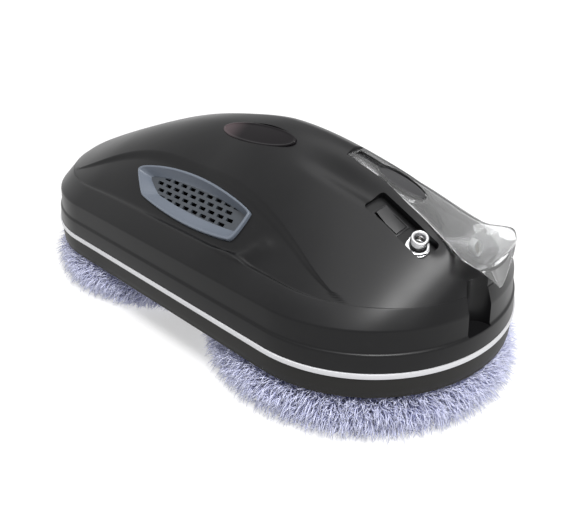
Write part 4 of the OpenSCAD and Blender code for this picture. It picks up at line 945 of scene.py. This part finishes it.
def make_pads(look):
    """Long-pile bonnets round both discs: a soft base with strands that hang out and down."""
    strands = [strand_object(f"strand_{k}", 11 + k) for k in range(3)]
    tree = pile_tree()
    steps = 128
    for end, sx, body in (("front", 1, "front_disc"), ("rear", -1, "rear_disc")):
        centre = sx * DISC_X * MM
        base = lathe("pad_base_" + end, chaikin(PAD_PROFILE, 2), steps)
        coords = coords_of(base)
        lumpy(coords)
        coords[:, 0] += centre
        base.vertices.foreach_set("co", coords.ravel())
        dress("pad_base_" + end, base, body, "microfibre", ["mop_pad_" + end], 60)

        rings = [[(x, y, z) for x, y in disc_plan(r, steps)] for r, z, length in PILE_RINGS]
        host = ring_mesh("pile_host", rings, ends=(False, False))
        host.attributes.new("pile", "FLOAT", "POINT").data.foreach_set(
            "value", [length * look.pile_length * MM for r, z, length in PILE_RINGS for _ in range(steps)])
        if host.polygons[0].normal.z > 0:
            host.flip_normals()
        host.transform(Matrix.Translation((centre, 0, 0)))
        mesh = baked_instances("pile", host, tree, {
            "Strand A": strands[0], "Strand B": strands[1], "Strand C": strands[2], "Seed": 3 if sx > 0 else 8,
            "Density": look.strand_count / sum(face.area for face in host.polygons), "Clump size": 95.0,
            "Clump strength": 1.1, "Material": MATERIALS["microfibre"]})
        coords = coords_of(mesh)
        held_back(coords, centre)
        mesh.vertices.foreach_set("co", coords.ravel())
        dress("pad_pile_" + end, mesh, body, "microfibre", (), 180)
        bpy.data.meshes.remove(host)
    for strand in strands:
        bpy.data.objects.remove(strand)


def paint_nodes(look):
    """Gives each CAD node that still shows the material of its slot."""
    slots = {part["node"]: part["material_slot"] for part in frame["record"]["subparts"]}
    for name, obj in frame["nodes"].items():
        slot = slots.get(name)
        if slot not in MATERIALS:
            raise RuntimeError(f"node {name} has no known slot: {slot}")
        obj.data.materials.clear()
        obj.data.materials.append(MATERIALS[slot])


def make_stage(look):
    """Pale floor, white surroundings, soft lights and the camera."""
    corners = [(x, y, 0) for x, y in box_plan(-9000, 9000, -9000, 9000)]
    floor = new_object("floor", mesh_from("floor", corners, [(0, 1, 2, 3)]))
    material, tree, surface = new_material("floor_paper")
    place = object_place(tree)
    reach = node(tree, "ShaderNodeVectorMath", {0: place}, operation="LENGTH").outputs["Value"]
    # painted light: the floor glows, more with distance from the robot, which whitens the far floor and lightens the
    # robot's shadow
    join(tree, surface, {
        "Base Color": spread(tree, noise(tree, place, 30.0, 3.0), 0.0, 1.0, 0.5, 0.52),
        "Roughness": 0.9, "Specular IOR Level": 0.1, "Emission Color": (1, 1, 1, 1),
        "Emission Strength": spread(tree, reach, 0.3, 1.5, 0.5, 1.0)})
    floor.data.materials.append(material)

    scene = bpy.context.scene
    scene.world = bpy.data.worlds.new("studio")
    scene.world.use_nodes = True
    tree = scene.world.node_tree
    tree.nodes.clear()
    path = node(tree, "ShaderNodeLightPath").outputs
    seen = maths(tree, "ADD", path["Is Camera Ray"], path["Is Glossy Ray"])
    seen = maths(tree, "ADD", seen, path["Is Transmission Ray"], use_clamp=True)
    around, white = [node(tree, "ShaderNodeBackground", {"Color": (1, 1, 1, 1), "Strength": strength})
                     for strength in (look.ambient, 1.0)]
    node(tree, "ShaderNodeOutputWorld", {0: node(tree, "ShaderNodeMixShader", {0: seen, 1: around, 2: white})})

    for name, place, target, (length, width), power in (
            ("key", (0.64, -0.26, 1.25), (0.14, -0.03, 0.08), (0.5, 0.34), look.key_power),
            ("front", (1.13, -0.12, 1.05), (0.15, -0.03, 0.07), (0.5, 0.5), look.key_power / 6),
            ("top", (-0.05, -0.15, 1.6), (0, 0, 0.05), (1.6, 0.9), look.top_power)):
        light = bpy.data.lights.new(name, "AREA")
        light.shape, light.size, light.size_y, light.energy = "RECTANGLE", length, width, power
        obj = new_object(name, light)
        obj.location = place
        obj.rotation_euler = (Vector(target) - Vector(place)).to_track_quat("-Z", "Y").to_euler()
    camera = bpy.data.cameras.new("camera")
    camera.lens, camera.sensor_width, camera.clip_start, camera.clip_end = 38.74, 36.0, 0.01, 50
    scene.camera = obj = new_object("camera", camera)
    obj.location = (0.27289, -0.25799, 0.22866)
    obj.rotation_mode = "QUATERNION"
    obj.rotation_quaternion = (Vector((0.02687, 0, 0.03308)) - obj.location).to_track_quat("-Z", "Y")
    scene.view_settings.view_transform = "Standard"


# ---- add-on

def colour_setting(label, text, default):
    return FloatVectorProperty(name=label, description=text, subtype="COLOR", default=default, min=0, max=1)


def number_setting(label, text, default, low, high, **settings):
    return FloatProperty(name=label, description=text, default=default, min=low, max=high, **settings)


class RobotLook(bpy.types.PropertyGroup):
    """Sizes and colours that a user may change."""
    body_colour: colour_setting("Body", "Colour of the domed housing", (0.005, 0.005, 0.0055))
    casing_colour: colour_setting("Lower casing", "Colour of the casing under the strip", (0.016, 0.0155, 0.0145))
    strip_colour: colour_setting("Strip", "Colour of the trim strip", (0.6, 0.6, 0.62))
    vent_colour: colour_setting("Vent", "Colour of the vent's frame", (0.118, 0.136, 0.168))
    pile_colour: colour_setting("Pile", "Colour of the microfibre", (0.57, 0.59, 0.88))
    edge_radius: number_setting("Edge radius", "Rounding of the housing's creases, in millimetres", 0.9, 0.2, 1.5)
    pile_length: number_setting("Pile length", "Length of the pads' strands against the usual one", 1.0, 0.3, 1.3)
    strand_count: IntProperty(name="Strands", description="Strands on each pad", default=28000, min=1000, max=30000)
    slot_columns: IntProperty(name="Slot columns", description="Slots in one row of a grille", default=9, min=5, max=10)
    ambient: number_setting("Ambient", "Strength of the light all round", 0.3, 0, 3)
    key_power: number_setting("Key light", "Power of the light above the front end", 15.0, 0, 200, subtype="POWER")
    top_power: number_setting("Top light", "Power of the light above the body", 12.0, 0, 200, subtype="POWER")


def robot_operator(name, label, work):
    """Operator that makes one piece or group of like pieces, described as its function is."""
    def execute(self, context):
        work(context.scene.robot_look)
        return {"FINISHED"}
    return type("ROBOT_OT_" + name, (bpy.types.Operator,), {
        "bl_idname": "robot." + name, "bl_label": label, "bl_options": {"REGISTER", "UNDO"}, "__doc__": work.__doc__,
        "execute": execute})


STEPS = [robot_operator(*step) for step in (
    ("materials", "Make Materials", make_materials), ("stage", "Set Up Stage", make_stage),
    ("paint", "Paint CAD Pieces", paint_nodes), ("housing", "Build Housing", make_housing),
    ("casing", "Build Casing Band", make_casing_band), ("strip", "Build Trim Strip", make_strip),
    ("vents", "Build Vents", make_vents), ("badge", "Build Badge Plate", make_badge),
    ("controls", "Build Controls", make_controls), ("tank", "Build Tank", make_tank),
    ("plug", "Build Plug", make_plug), ("pads", "Build Pads", make_pads))]


class ROBOT_PT_panel(bpy.types.Panel):
    """Settings of the robot and a button for each step."""
    bl_label = "Window Cleaning Robot"
    bl_space_type = "VIEW_3D"
    bl_region_type = "UI"
    bl_category = "Robot"

    def draw(self, context):
        look = context.scene.robot_look
        for key in RobotLook.__annotations__:
            self.layout.prop(look, key)
        for step in STEPS:
            self.layout.operator(step.bl_idname)


CLASSES = [RobotLook, *STEPS, ROBOT_PT_panel]


def register():
    for item in CLASSES:
        bpy.utils.register_class(item)
    bpy.types.Scene.robot_look = PointerProperty(type=RobotLook)


def unregister():
    del bpy.types.Scene.robot_look
    for item in reversed(CLASSES):
        bpy.utils.unregister_class(item)


def main():
    register()
    for step in STEPS:
        group, name = step.bl_idname.split(".")
        getattr(getattr(bpy.ops, group), name)()


if __name__ == "__main__":
    main()
